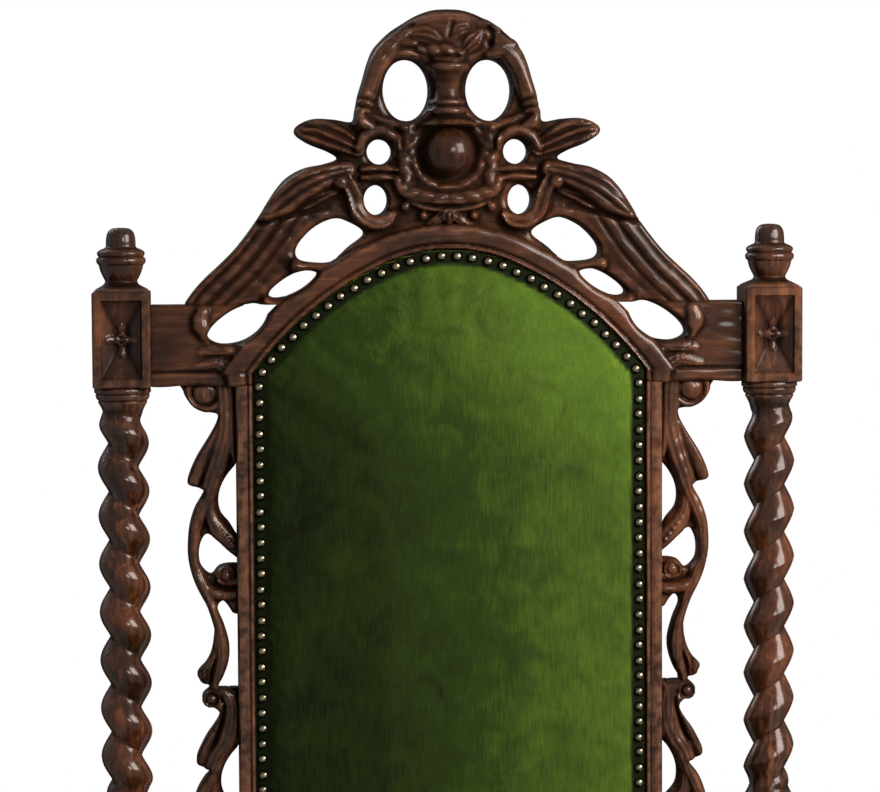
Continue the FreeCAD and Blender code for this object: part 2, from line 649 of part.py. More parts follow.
def make_arms():
    """Scroll-ended arms: seated on the front posts, tenoned into the leaning rear posts."""
    name = "arm_left"
    scroll_back = "-(arm_reach - arm_scroll)"
    scroll_top = "arm_scroll_lift + 2 * arm_scroll"
    rear_mid = "arm_block_mid - arm_seat"
    outline = [
        (scroll_back, scroll_top, "arm_sag", False),
        ("seat_run", f"{rear_mid} + arm_thick / 2"),
        ("seat_run", f"{rear_mid} - arm_thick / 2"),
        ("post_half + arm_flare", "arm_flare_rise"),
        ("post_half", "0"),
        ("-post_half", "0"),
        (scroll_back, "arm_scroll_lift", "arm_scroll", True),
        ("-arm_reach", "arm_scroll_lift + arm_scroll", "arm_scroll", True),
    ]
    bar = padded_outline(f"{name}_bar", "YZ_Plane", outline, "arm_wide", ("-post_x", front_line, "arm_seat"),
                         True)
    behind = box(f"{name}_behind", ("2 * arm_wide", "4 * post_square", "4 * arm_block_tall"),
                 ("-post_x - arm_wide", "-post_half", "arm_block_mid - 2 * arm_block_tall"), True)
    trimmed = cut(f"{name}_trimmed", bar, [behind])
    whole = fused(f"{name}_tenoned", [trimmed, box(f"{name}_tenon", *arm_tenon(), True)])
    bore = rod(f"{name}_bore", "arm_spigot + fit_gap", "spigot_long + end_gap",
               ("-post_x", front_line, "arm_seat"), (0, 0, 1))
    left = named(name, cut(name, whole, [bore, peg_hole(name, "arm")]))
    mirrored("arm_right", left)


# Back frame

class Arch:
    """The arched head of the back opening: a crown arc between two flatter haunch arcs.

    Curves at a distance outside (+) or inside (-) the opening's edge share the arcs' centres.
    """

    def __init__(self):
        self.half = value("opening_half")
        self.turn = math.radians(value("crown_turn"))
        self.crown = value("crown_radius")
        self.crown_centre = value("arch_apex - crown_radius")
        lean_x = math.sin(self.turn)
        lean_z = math.cos(self.turn)
        spring_z = value("arch_spring") - self.crown_centre
        along = self.half * lean_x + spring_z * lean_z
        square = self.half ** 2 + spring_z ** 2
        self.haunch = (square + self.crown ** 2 - 2 * self.crown * along) / (2 * (self.crown - along))
        self.haunch_x = (self.crown - self.haunch) * lean_x
        self.haunch_z = self.crown_centre + (self.crown - self.haunch) * lean_z

    def haunch_point(self, offset, angle):
        radius = self.haunch + offset
        return V(self.haunch_x + radius * math.sin(angle), 0, self.haunch_z + radius * math.cos(angle))

    def edges(self, offset, depth, foot):
        """Edges of the closed outline at one distance, from the left foot over to the right foot."""
        end = math.asin((self.half + offset - self.haunch_x) / (self.haunch + offset))
        right = [self.haunch_point(offset, end), self.haunch_point(offset, (end + self.turn) / 2),
                 self.haunch_point(offset, self.turn)]
        right = [V(spot.x, depth, spot.z) for spot in right]
        left = [V(-spot.x, depth, spot.z) for spot in right]
        top = V(0, depth, self.crown_centre + self.crown + offset)
        foot_left = V(-self.half - offset, depth, foot)
        foot_right = V(self.half + offset, depth, foot)
        return [
            Part.LineSegment(foot_left, left[0]).toShape(),
            Part.Arc(left[0], left[1], left[2]).toShape(),
            Part.Arc(left[2], top, right[2]).toShape(),
            Part.Arc(right[2], right[1], right[0]).toShape(),
            Part.LineSegment(right[0], foot_right).toShape(),
            Part.LineSegment(foot_right, foot_left).toShape(),
        ]

    def wire(self, offset, depth, foot):
        return Part.Wire(self.edges(offset, depth, foot))

    def slab(self, offset, front, rear, foot):
        """The whole outline at one distance, between two depths."""
        return Part.Face(self.wire(offset, front, foot)).extrude(V(0, rear - front, 0))

    def top_at(self, offset, across):
        """Height of the curve above a point across the back."""
        across = abs(across)
        if across <= (self.crown + offset) * math.sin(self.turn):
            return self.crown_centre + math.sqrt((self.crown + offset) ** 2 - across ** 2)
        return self.haunch_z + math.sqrt((self.haunch + offset) ** 2 - (across - self.haunch_x) ** 2)


arch = Arch()

# Piercings of the crest on the right: across, height above the arch's apex, half length, half width and
# how far the long axis drops towards the outside, in degrees
CREST_HOLES = (
    (34.5, 132.0, 25.4, 18.5, 90.0),
    (57.0, 81.0, 10.4, 10.4, 0.0),
    (60.2, 41.0, 12.0, 9.6, 90.0),
    (100.0, 6.5, 30.0, 14.4, 20.0),
    (131.0, -29.5, 20.0, 8.5, 22.0),
)
SHOULDER_HOLE = (175.0, -61.0, 26.0, 13.0, 29.0)

# Outer edge of the crest carving on the right: across and height above the arch's apex
CREST_LIMB = ((150.0, 41.0), (140.0, 54.0), (118.0, 67.0))
CREST_TONGUE = ((94.0, 76.0), (116.0, 86.0), (127.0, 98.0), (113.0, 108.0), (80.0, 104.0))
CREST_RING = ((77.5, 116.0), (71.0, 141.0), (61.0, 167.0), (37.5, 188.0), (0.0, 199.0))
LIMB_FOOT = 216.0
CREST_DOWELS = (30.0, 207.0)


def curve(spots):
    line = Part.BSplineCurve()
    line.interpolate(spots)
    return line.toShape()


def piercing(hole, side):
    """A slanted oval hole through the crest."""
    across, rise, long, wide, drop = hole
    height = value("arch_apex") + rise
    depth = value("back_thick")
    oval = Part.Ellipse(V(0, 0, 0), long, wide).toShape()
    prism = Part.Face(Part.Wire([oval])).extrude(V(0, 0, 2 * depth))
    prism.rotate(V(0, 0, 0), V(1, 0, 0), 90)
    prism.rotate(V(0, 0, 0), V(0, 1, 0), drop * side)
    prism.translate(V(across * side, depth, height))
    return prism


def crest_dowel_places():
    """Foot of each crest dowel: half in the rail and half in the carving."""
    middle, outer = CREST_DOWELS
    half = value("dowel_long / 2")
    inner_low = arch.top_at(value("arch_band"), middle) - half
    outer_low = value("shoulder_top") - half
    return [(side * across, low) for across, low in ((middle, inner_low), (outer, outer_low))
            for side in (-1, 1)]


def crest_dowel_holes(owner):
    holes = []
    for index, (across, low) in enumerate(crest_dowel_places()):
        start = (across, 0, low - value("end_gap"))
        holes.append(rod(f"{owner}_dowel_hole_{index}", "dowel_radius + fit_gap", "dowel_long + 2 * end_gap",
                         start, (0, 0, 1), True))
    return holes


def make_crest_rail():
    name = "crest_rail"
    front = -value("back_thick / 2")
    rear = -front
    foot = value("shoulder_low")
    band = arch.slab(value("arch_band"), front, rear, foot).cut(arch.slab(0, front, rear, foot))
    ledge = arch.slab(0, -value("ledge_face"), rear, foot)
    ledge = ledge.cut(arch.slab(-value("ledge_wide"), -value("ledge_face"), rear, foot))
    head = shaped(f"{name}_head", band.fuse(ledge).removeSplitter(), True)
    shoulder = ("block_inner - opening_half", "back_thick", "shoulder_tall")
    left_low = ("-block_inner", "-back_thick / 2", "shoulder_low")
    tenon = crest_tenon()
    members = [head, box(f"{name}_left_shoulder", shoulder, left_low, True),
               box(f"{name}_right_shoulder", *other_side(shoulder, left_low), True),
               box(f"{name}_left_tenon", *tenon, True),
               box(f"{name}_right_tenon", *other_side(*tenon), True)]
    hollows = [shaped(f"{name}_piercing_{side}", piercing(SHOULDER_HOLE, side), True) for side in (-1, 1)]
    stile = stile_tenon(True)
    hollows += [mortise(f"{name}_left_stile_mortise", *stile, True),
                mortise(f"{name}_right_stile_mortise", *other_side(*stile), True)]
    hollows += [peg_hole(name, "crest"), right_peg_hole(name, "crest")]
    hollows += crest_dowel_holes(name)
    named(name, cut(name, fused(f"{name}_joined", members), hollows))


def make_crest_carving():
    """The pierced cresting: limbs, tongues and ring, standing on the arch and the shoulders."""
    name = "crest_carving"
    apex = value("arch_apex")
    front = -value("back_thick / 2")
    foot = value("shoulder_top + fit_gap")
    right = [V(LIMB_FOOT, front, foot)]
    limb, tongue, ring = [[V(across, front, apex + rise) for across, rise in group_of]
                          for group_of in (CREST_LIMB, CREST_TONGUE, CREST_RING)]
    ring[-1].z = value("crest_top")
    edges = [Part.LineSegment(right[0], limb[0]).toShape(), curve(limb),
             Part.LineSegment(limb[-1], tongue[0]).toShape(), curve(tongue),
             Part.LineSegment(tongue[-1], ring[0]).toShape(), curve(ring)]
    across = V(1, 0, 0)
    mirror = [edge.mirror(V(0, 0, 0), across) for edge in edges]
    base = Part.LineSegment(V(-LIMB_FOOT, front, foot), right[0]).toShape()
    outline = Part.Wire(Part.__sortEdges__(edges + mirror + [base]))
    plate = Part.Face(outline).extrude(V(0, value("back_thick"), 0))
    under = arch.slab(value("arch_band + fit_gap"), 2 * front, -2 * front, value("shoulder_low"))
    plate = plate.cut(under)
    holes = [piercing(hole, side) for hole in (*CREST_HOLES, SHOULDER_HOLE) for side in (-1, 1)]
    plate = plate.cut(holes)
    bore = rod(f"{name}_boss_bore", "boss_spigot + fit_gap", "back_thick / 2 + end_gap",
               (0, "-back_thick / 2", "arch_apex + boss_rise"), (0, 1, 0), True)
    board = shaped(f"{name}_board", plate, True)
    named(name, cut(name, board, [bore, *crest_dowel_holes(name)]))


def make_crest_boss():
    """A turned button in the middle of the cartouche, on a spigot."""
    foot = "back_thick / 2"
    outline = [("0", "0"), ("boss_spigot", "0"), ("boss_spigot", foot),
               ("boss_radius", foot, dome_radius("boss_radius", "boss_proud"), False),
               ("0", f"{foot} + boss_proud")]
    boss = turned("crest_boss", outline, (0, 0, 0))
    placed(boss, (0, 0, "arch_apex + boss_rise"), True, FreeCAD.Rotation(V(1, 0, 0), 90))
    named("crest_boss", boss)


def make_crest_dowels():
    dowels = [rod(f"crest_dowel_{index}", "dowel_radius", "dowel_long", (across, 0, low), (0, 0, 1), True)
              for index, (across, low) in enumerate(crest_dowel_places())]
    group("crest_dowels", dowels)


def make_back_stiles():
    name = "back_stile_left"
    tall = "shoulder_low - back_rail_top"
    face = box(f"{name}_face", ("stile_face", "back_thick", tall),
               ("-stile_outer", "-back_thick / 2", "back_rail_top"), True)
    ledge = box(f"{name}_ledge", ("ledge_wide", "back_thick - ledge_deep", tall),
                ("-opening_half", "-ledge_face", "back_rail_top"), True)
    tenons = [box(f"{name}_{end}_tenon", *stile_tenon(top), True)
              for end, top in (("head", True), ("foot", False))]
    whole = fused(f"{name}_tenoned", [face, ledge, *tenons])
    left = named(name, cut(name, whole, fret_dowel_holes(name)))
    mirrored("back_stile_right", left)


def make_back_bottom_rail():
    name = "back_bottom_rail"
    core = box(f"{name}_core", ("2 * block_inner", "back_thick", "back_rail_tall"),
               ("-block_inner", "-back_thick / 2", "back_rail_low"), True)
    tenon = back_rail_tenon()
    whole = fused(f"{name}_tenoned", [core, box(f"{name}_left_tenon", *tenon, True),
                                      box(f"{name}_right_tenon", *other_side(*tenon), True)])
    stile = stile_tenon(False)
    rebate = box(f"{name}_rebate", ("2 * opening_half", "ledge_deep", "ledge_wide"),
                 ("-opening_half", "-back_thick / 2", "panel_foot"), True)
    hollows = [rebate, mortise(f"{name}_left_stile_mortise", *stile, True),
               mortise(f"{name}_right_stile_mortise", *other_side(*stile), True),
               peg_hole(name, "back_rail"), right_peg_hole(name, "back_rail")]
    named(name, cut(name, whole, hollows))


# Scroll frets, drawn for a unit FRET_DRAWN tall: out from the stile's edge, down from the unit's top and
# half the width of the stroke there

FRET_DRAWN = 250.0
FRET_STEM = ((9.0, 10.0, 8.0), (12.0, 34.0, 6.0), (13.0, 62.0, 5.5), (23.0, 83.0, 5.0), (31.0, 100.0, 5.0),
             (40.0, 115.0, 4.6), (44.0, 132.0, 4.4), (42.0, 152.0, 4.6), (31.0, 168.0, 4.8),
             (25.0, 184.0, 4.8), (18.5, 204.0, 4.6), (15.0, 220.0, 4.4), (17.0, 236.0, 4.0),
             (22.0, 249.5, 3.5))
FRET_LEAF = ((17.0, 24.0, 5.0), (27.0, 42.0, 8.5), (36.0, 62.0, 8.0), (41.0, 78.0, 3.0))
FRET_STRAND = ((24.0, 90.0, 3.5), (24.5, 106.0, 3.5), (19.0, 122.0, 5.0), (8.0, 134.0, 8.0), (1.0, 139.0, 9.0))
FRET_LOW_LEAF = ((21.0, 198.0, 3.0), (25.5, 214.0, 5.5), (33.0, 230.0, 6.0), (35.0, 240.0, 2.5))
FRET_VOLUTES = ((30.0, 15.5, 15.0), (15.0, 165.0, 13.5))
FRET_HEELS = ((20.0, 60.0, 10.0), (153.0, 172.0, 9.0))
FRET_DOWELS = (40.0, 162.0)


def fret_spot(out, down, top, scale):
    return V(-value("stile_outer") - out, 0, top - down * scale)


def stroke(spots, halves):
    """Outline of a swelling stroke: the path moved to both sides by its half width, with square ends."""
    left = []
    right = []
    for index, spot in enumerate(spots):
        ahead = spots[min(index + 1, len(spots) - 1)] - spots[max(index - 1, 0)]
        side = V(-ahead.z, 0, ahead.x).normalize() * halves[index]
        left.append(spot + side)
        right.append(spot - side)
    edges = [curve(left), Part.LineSegment(left[-1], right[-1]).toShape(), curve(right[::-1]),
             Part.LineSegment(right[0], left[0]).toShape()]
    return Part.Face(Part.Wire(edges))


def fret_units():
    """Name and top of the upper and lower fret, and the height of each."""
    tall = value("shoulder_low - back_rail_top") / 2
    return (("upper", value("shoulder_low")), ("lower", value("shoulder_low") - tall)), tall


def fret_solid(top, tall):
    scale = tall / FRET_DRAWN
    faces = []
    for path in (FRET_STEM, FRET_LEAF, FRET_STRAND, FRET_LOW_LEAF):
        spots = [fret_spot(out, down, top, scale) for out, down, half in path]
        faces.append(stroke(spots, [half for out, down, half in path]))
    for out, down, radius in FRET_VOLUTES:
        disc = Part.Circle(fret_spot(out, down, top, scale), V(0, -1, 0), radius).toShape()
        faces.append(Part.Face(Part.Wire([disc])))
    for start, end, out in FRET_HEELS:
        corners = [fret_spot(0, start, top, scale), fret_spot(out, start, top, scale),
                   fret_spot(out, end, top, scale), fret_spot(0, end, top, scale)]
        faces.append(Part.Face(Part.makePolygon(corners + corners[:1])))
    front = V(0, -value("fret_front"), 0)
    solids = [face.translated(front).extrude(V(0, value("fret_thick"), 0)) for face in faces]
    whole = solids[0].fuse(solids[1:]).removeSplitter()
    room = Part.makeBox(value("block_inner - stile_outer"), value("4 * fret_thick"), tall)
    room.translate(V(-value("block_inner"), -value("2 * fret_thick"), top - tall))
    return whole.common(room)


def fret_dowel_places():
    units, tall = fret_units()
    places = []
    for unit, top in units:
        places += [(f"{unit}_{index}", top - down * tall / FRET_DRAWN) for index, down in enumerate(FRET_DOWELS)]
    return places


def fret_dowel_start(level):
    middle = value("fret_thick / 2 - fret_front")
    return (-value("stile_outer") - value("dowel_long / 3"), middle, level)


def fret_dowel_holes(owner):
    """Holes in a fret and its stile for the dowels between them."""
    holes = []
    for key, level in fret_dowel_places():
        across, depth, height = fret_dowel_start(level)
        start = (across - value("end_gap"), depth, height)
        holes.append(rod(f"{owner}_{key}_dowel_hole", "dowel_radius + fit_gap", "dowel_long + 2 * end_gap",
                         start, (1, 0, 0), True))
    return holes


def make_frets():
    units, tall = fret_units()
    for unit, top in units:
        name = f"scroll_fret_{unit}_left"
        solid = shaped(f"{name}_scrolls", fret_solid(top, tall), True)
        left = named(name, cut(name, solid, fret_dowel_holes(name)))
        mirrored(f"scroll_fret_{unit}_right", left)
    dowels = []
    for key, level in fret_dowel_places():
        left = rod(f"fret_dowel_{key}_left", "dowel_radius", "dowel_long", fret_dowel_start(level), (1, 0, 0), True)
        right = doc.addObject("Part::Mirroring", f"fret_dowel_{key}_right")
        right.Source = left
        right.Normal = V(1, 0, 0)
        dowels += [left, right]
    group("fret_dowels", dowels)


# Upholstered back

# Steps of a quarter turn from the edge of a pad to the flat of its crown
CROWN_STEPS = 8


def crown_turns():
    return [math.radians(90 * step / CROWN_STEPS) for step in range(CROWN_STEPS + 1)]


def back_pad(grow):
    """The crowned pad, grown on the outside by the cover's thickness.

    A loft through inset outlines: in by reach * (1 - cos turn), forward by crown * sin turn.
    """
    base = value("hessian_front")
    wires = []
    for turn in crown_turns():
        offset = grow - value("pad_margin") - value("crown_reach") * (1 - math.cos(turn))
        depth = -base - value("back_crown") * math.sin(turn) - grow
        wires.append(arch.wire(offset, depth, value("panel_foot") - offset))
    return Part.makeLoft(wires, True, True)


def panel_layer(inner, thick, gap="edge_gap"):
    """A flat layer that fills the rebate of the back, from one depth forward by its thickness."""
    offset = -value(gap)
    return arch.slab(offset, -value(inner) - value(thick), -value(inner), value("panel_foot") - offset)


def nail_head(spot, outward):
    """A domed nail head, its flat underside on the spot."""
    reach = value("nail_radius")
    tall = value("nail_tall")
    radius = (reach ** 2 + tall ** 2) / (2 * tall)
    sunk = radius - tall
    low = math.degrees(math.asin(sunk / radius))
    return Part.makeSphere(radius, spot - outward * sunk, outward, low, 90, 360)


def make_back_upholstery():
    strips = []
    half_strip = value("webbing_wide / 2")
    tall = value("arch_apex - panel_foot")
    first = "ledge_face"
    second = "ledge_face + webbing_thick"
    thick = value("webbing_thick")
    for across in (-1, 0, 1):
        middle = across * value("opening_half") * 0.56
        strip = Part.makeBox(2 * half_strip, thick, 2 * tall)
        strip.translate(V(middle - half_strip, -value(first) - thick, value("panel_foot") - tall / 2))
        strips.append(strip.common(panel_layer(first, "webbing_thick")))
    rows = 5
    for row in range(rows):
        level = value("panel_foot") + tall * (row + 0.5) / (rows + 0.7)
        strip = Part.makeBox(4 * value("opening_half"), thick, 2 * half_strip)
        strip.translate(V(-2 * value("opening_half"), -value(second) - thick, level - half_strip))
        strips.append(strip.common(panel_layer(second, "webbing_thick")))
    named("back_webbing", shaped("back_webbing", Part.makeCompound(strips), True))

    hessian = panel_layer("hessian_front - hessian_thick", "hessian_thick")
    named("back_hessian", shaped("back_hessian", hessian, True))
    stuffing = back_pad(0.0)
    named("back_stuffing", shaped("back_stuffing", stuffing, True))
    margin = panel_layer("hessian_front", "cover_thick")
    cover = margin.fuse(back_pad(value("cover_thick"))).cut(stuffing)
    named("back_cover", shaped("back_cover", cover, True))

    line = arch.wire(-value("nail_inset"), -value("hessian_front + cover_thick"),
                     value("panel_foot + nail_inset"))
    count = round(line.Length / value("nail_pitch"))
    heads = [nail_head(spot, V(0, -1, 0)) for spot in line.discretize(Number=count + 1)[:-1]]
    named("back_nails", shaped("back_nails", Part.makeCompound(heads), True))

    rear = value("back_thick / 2")
    lining = arch.slab(-value("edge_gap"), rear, rear + value("lining_thick"), value("panel_foot"))
    named("back_lining", shaped("back_lining", lining, True))


# Upholstered seat

def seat_rectangle(out, height):
    """Closed rectangle at one height, moved out from the outer faces of the seat rails."""
    half = value("post_x + rail_face") + out
    front = front_line - value("rail_face") - out
    rear = rear_line + value("rail_face") + out
    corners = [V(-half, front, height), V(half, front, height), V(half, rear, height), V(-half, rear, height)]
    return Part.makePolygon(corners + corners[:1])


def seat_slab(out, low, thick):
    return Part.Face(seat_rectangle(out, value(low))).extrude(V(0, 0, thick))


def post_notches():
    """Room for the four posts, with the seat gap round each."""
    side = value("2 * post_square")
    inner = value("block_inner - seat_gap")
    low_front = front_line + value("post_half + seat_gap") - side
    low_rear = rear_line - value("post_half + seat_gap")
    tall = value("2 * seat_block_top")
    notches = []
    for low_x in (-inner - side, inner):
        for low_y in (low_front, low_rear):
            notches.append(Part.makeBox(side, side, tall, V(low_x, low_y, 0)))
    return notches


def seat_pad(grow):
    """The crowned seat, grown on the outside by the cover's thickness.

    A loft through rectangles: the sides swell by swell * sin(2 turn), then draw in by
    reach * (1 - cos turn) squared, and rise by crown * sin turn.
    """
    wires = []
    for turn in crown_turns():
        out = value("seat_swell") * math.sin(2 * turn) - value("seat_reach") * (1 - math.cos(turn)) ** 2
        rise = (value("seat_crown") + grow) * math.sin(turn)
        wires.append(seat_rectangle(out + grow, value("pad_floor") + rise))
    return Part.makeLoft(wires, True, True)


def skirts():
    """The flaps of the cover that hang over the rails between the posts."""
    low = value("rail_top - skirt_drop")
    tall = value("pad_floor + hessian_thick") - low
    thick = value("cover_thick")
    half = value("block_inner - seat_gap")
    run = value("seat_run - post_square - 2 * seat_gap")
    start_y = front_line + value("post_half + seat_gap")
    side_x = value("post_x + rail_face")
    front_y = front_line - value("rail_face")
    rear_y = rear_line + value("rail_face")
    return [
        Part.makeBox(2 * half, thick, tall, V(-half, front_y - thick, low)),
        Part.makeBox(2 * half, thick, tall, V(-half, rear_y, low)),
        Part.makeBox(thick, run, tall, V(-side_x - thick, start_y, low)),
        Part.makeBox(thick, run, tall, V(side_x, start_y, low)),
    ]


def seat_nail_rows():
    """Evenly spaced nail places along the hems, each row with the way its heads point."""
    level = value("rail_top - skirt_drop + hem_margin")
    skin = value("rail_face + cover_thick")
    half = value("block_inner - hem_margin")
    run = value("seat_run / 2 - post_half - hem_margin")
    middle = (front_line + rear_line) / 2
    rows = []
    for length, start, step, outward in (
            (2 * half, V(-half, front_line - skin, level), V(1, 0, 0), V(0, -1, 0)),
            (2 * half, V(-half, rear_line + skin, level), V(1, 0, 0), V(0, 1, 0)),
            (2 * run, V(-value("post_x") - skin, middle - run, level), V(0, 1, 0), V(-1, 0, 0)),
            (2 * run, V(value("post_x") + skin, middle - run, level), V(0, 1, 0), V(1, 0, 0))):
        count = round(length / value("nail_pitch"))
        rows += [(start + step * (length * index / count), outward) for index in range(count + 1)]
    return rows


def make_seat_upholstery():
    thick = value("webbing_thick")
    wide = value("webbing_wide")
    half = value("post_x + rail_face") - value("hem_margin")
    low_y = front_line - value("rail_face") + value("hem_margin")
    run = rear_line + value("rail_face") - value("hem_margin") - low_y
    strips = []
    columns = 5
    for column in range(columns):
        middle = value("block_inner - seat_gap - webbing_wide / 2") * (2 * column / (columns - 1) - 1)
        strips.append(Part.makeBox(wide, run, thick, V(middle - wide / 2, low_y, value("rail_top"))))
    rows = 4
    first = front_line + value("post_half + seat_gap + webbing_wide / 2")
    last = rear_line - value("post_half + seat_gap + webbing_wide / 2")
    for row in range(rows):
        middle = first + (last - first) * row / (rows - 1)
        strips.append(Part.makeBox(2 * half, wide, thick, V(-half, middle - wide / 2, value("rail_top") + thick)))
    named("seat_webbing", shaped("seat_webbing", Part.makeCompound(strips)))

    hessian = seat_slab(0, "pad_floor - hessian_thick", value("hessian_thick")).cut(post_notches())
    named("seat_hessian", shaped("seat_hessian", hessian))
    stuffing = seat_pad(0.0).cut(post_notches())
    named("seat_stuffing", shaped("seat_stuffing", stuffing))
    cover = seat_pad(value("cover_thick")).fuse(skirts())
    cover = cover.cut([seat_pad(0.0), *post_notches()]).removeSplitter()
    named("seat_cover", shaped("seat_cover", cover))
    heads = [nail_head(spot, outward) for spot, outward in seat_nail_rows()]
    named("seat_nails", shaped("seat_nails", Part.makeCompound(heads)))
    cloth = seat_slab(-value("hem_margin"), "rail_low - cloth_thick", value("cloth_thick")).cut(post_notches())
    named("seat_dust_cloth", shaped("seat_dust_cloth", cloth))


def write_parts():
    """Checks every object of the document and every sub-part, then writes the sub-parts."""
    doc.recompute()
    failed = [obj.Name for obj in doc.Objects if {"Invalid", "Error"} & set(obj.State)]
    broken = [label for label, obj in SUBPARTS.items() if obj.Shape.isNull() or not obj.Shape.isValid()]
    if failed or broken:
        raise RuntimeError(f"failed objects {failed}, broken shapes {broken}")
    os.makedirs("parts", exist_ok=True)
    for label, obj in SUBPARTS.items():
        obj.Shape.exportStep(os.path.join("parts", label + ".step"))
    print(len(SUBPARTS), "sub-parts written")


make_rear_posts()
make_front_posts()
make_feet()
make_finials()
make_seat_rails()
make_corner_braces()
make_stretchers()
make_arms()
make_crest_rail()
make_crest_carving()
make_crest_boss()
make_crest_dowels()
make_back_stiles()
make_back_bottom_rail()
make_frets()
make_joint_pegs()
make_back_upholstery()
make_seat_upholstery()
write_parts()
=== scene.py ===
"""A carved barley-twist throne chair: the looks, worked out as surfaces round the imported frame.

Lengths are millimetres until they reach a mesh. The sitter faces -y and z is up. Places on the leaning
back are written upright as (across, v, height), with v running backwards, and are leaned at the end.
"""

import math

import bpy
import numpy as np
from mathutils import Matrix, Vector


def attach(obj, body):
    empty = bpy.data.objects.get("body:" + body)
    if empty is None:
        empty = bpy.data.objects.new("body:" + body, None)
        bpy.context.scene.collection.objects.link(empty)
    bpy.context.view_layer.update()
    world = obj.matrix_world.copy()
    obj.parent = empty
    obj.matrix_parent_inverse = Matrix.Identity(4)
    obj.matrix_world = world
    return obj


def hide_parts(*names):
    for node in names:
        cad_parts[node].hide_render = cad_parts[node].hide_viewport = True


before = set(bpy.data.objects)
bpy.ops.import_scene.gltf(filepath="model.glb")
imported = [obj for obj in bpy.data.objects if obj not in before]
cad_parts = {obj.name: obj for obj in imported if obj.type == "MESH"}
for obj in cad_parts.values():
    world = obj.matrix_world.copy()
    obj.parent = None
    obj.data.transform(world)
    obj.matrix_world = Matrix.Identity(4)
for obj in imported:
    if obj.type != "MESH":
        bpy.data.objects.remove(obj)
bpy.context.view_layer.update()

MM = 0.001

# The posts' axes in y and in x, and half the width of their square blocks
FRONT_LINE = -226.788
REAR_LINE = 203.212
MIDDLE_LINE = (FRONT_LINE + REAR_LINE) / 2
POST_X = 272.0
POST_HALF = 24.0

# The back leans from this height up, and its frame ends this far behind the axes
LEAN_HEIGHT = 445.0
RAKE = math.radians(4.0)
BACK_FACE = 17.0


def leaned(points):
    """Upright places on the back, turned by the rake about the tops of the rear seat blocks."""
    points = np.asarray(points, float)
    across, v, up = points[..., 0], points[..., 1], points[..., 2] - LEAN_HEIGHT
    y = REAR_LINE + v * math.cos(RAKE) + up * math.sin(RAKE)
    z = LEAN_HEIGHT + up * math.cos(RAKE) - v * math.sin(RAKE)
    return np.stack([across, y, z], axis=-1)


def upright(points):
    """Leaned places turned back: across, v and height."""
    behind, up = points[:, 1] - REAR_LINE, points[:, 2] - LEAN_HEIGHT
    v = behind * math.cos(RAKE) - up * math.sin(RAKE)
    return points[:, 0], v, up * math.cos(RAKE) + behind * math.sin(RAKE) + LEAN_HEIGHT


def smooth(low, high, value):
    """An S curve from 0 at low to 1 at high."""
    t = np.clip((value - low) / (high - low), 0.0, 1.0)
    return t * t * (3 - 2 * t)


def hump(share):
    """1 - share ** 2, and 0 beyond -1 and 1."""
    return np.clip(1 - share ** 2, 0, None)


def half_round(share):
    """Height of a half circle of radius 1, and 0 beyond -1 and 1."""
    return np.sqrt(hump(share))


def curve(spots, steps=8, closed=False):
    """Smooth line through spots: a Catmull-Rom cubic between each pair, in any number of columns."""
    spots = np.asarray(spots, float)
    if closed:
        spots = np.vstack([spots[-1], spots, spots[:2]])
    else:
        spots = np.vstack([2 * spots[0] - spots[1], spots, 2 * spots[-1] - spots[-2]])
    t = np.linspace(0, 1, steps, endpoint=False)[None, :, None]
    a, b, c, d = (spots[k:len(spots) - 3 + k, None, :] for k in range(4))
    line = 0.5 * (2 * b + (c - a) * t + (2 * a - 5 * b + 4 * c - d) * t ** 2
                  + (3 * b - a - 3 * c + d) * t ** 3)
    line = line.reshape(-1, spots.shape[1])
    return line if closed else np.vstack([line, spots[-2]])


def blurred(field, reach, wrap=False):
    """Mean of a field over a square of 2 * reach + 1 nodes a side, by running sums along both ways."""
    for axis in (0, 1):
        mode = "wrap" if wrap and axis == 1 else "edge"
        pads = [(reach, reach) if k == axis else (0, 0) for k in (0, 1)]
        field = np.pad(field, pads, mode=mode)
        total = np.cumsum(field, axis=axis)
        first = np.zeros_like(np.take(total, [0], axis=axis))
        total = np.concatenate([first, total], axis=axis)
        width = 2 * reach + 1
        count = total.shape[axis] - width
        upper = np.take(total, np.arange(width, width + count), axis=axis)
        field = (upper - np.take(total, np.arange(count), axis=axis)) / width
    return field


# Skins and pieces

def tube(rings):
    """Closed skin over an array of rings: quads between neighbouring rings and a fan over each end."""
    rows, around = rings.shape[:2]
    ids = np.arange(rows * around).reshape(rows, around)
    beside = np.roll(ids, -1, axis=1)
    quads = np.stack([ids[:-1], beside[:-1], beside[1:], ids[1:]], axis=-1).reshape(-1, 4)
    first = np.full(around, rows * around)
    foot = np.stack([first, beside[0], ids[0]], axis=-1)
    head = np.stack([first + 1, ids[-1], beside[-1]], axis=-1)
    points = np.vstack([rings.reshape(-1, 3), rings[0].mean(0), rings[-1].mean(0)])
    return points, quads.tolist() + foot.tolist() + head.tolist()


def tube_marks(rings, polish, reach=5):
    """Marks of a tube: hollow or worn by its distance inside or outside the local mean radius, and polish."""
    centre = rings.mean(axis=1, keepdims=True)
    radius = np.linalg.norm(rings - centre, axis=2)
    out = radius - blurred(radius, reach, wrap=True)
    ends = np.zeros(2)
    # hollow: dirt and painted shade in the grooves of the twist
    return {"hollow": np.concatenate([np.clip(-out / 1.5, 0, 1).ravel(), ends]),
            "worn": np.concatenate([np.clip(out / 1.2, 0, 1).ravel(), ends]),
            "polish": np.full(out.size + 2, polish)}


def joined(*shapes):
    """Several shapes with the same marks as one shape."""
    points, faces, start = [], [], 0
    for shape in shapes:
        points.append(shape[0])
        faces += [[k + start for k in face] for face in shape[1]]
        start += len(shape[0])
    marks = {word: np.concatenate([shape[2][word] for shape in shapes]) for word in shapes[0][2]}
    return np.vstack(points), faces, marks


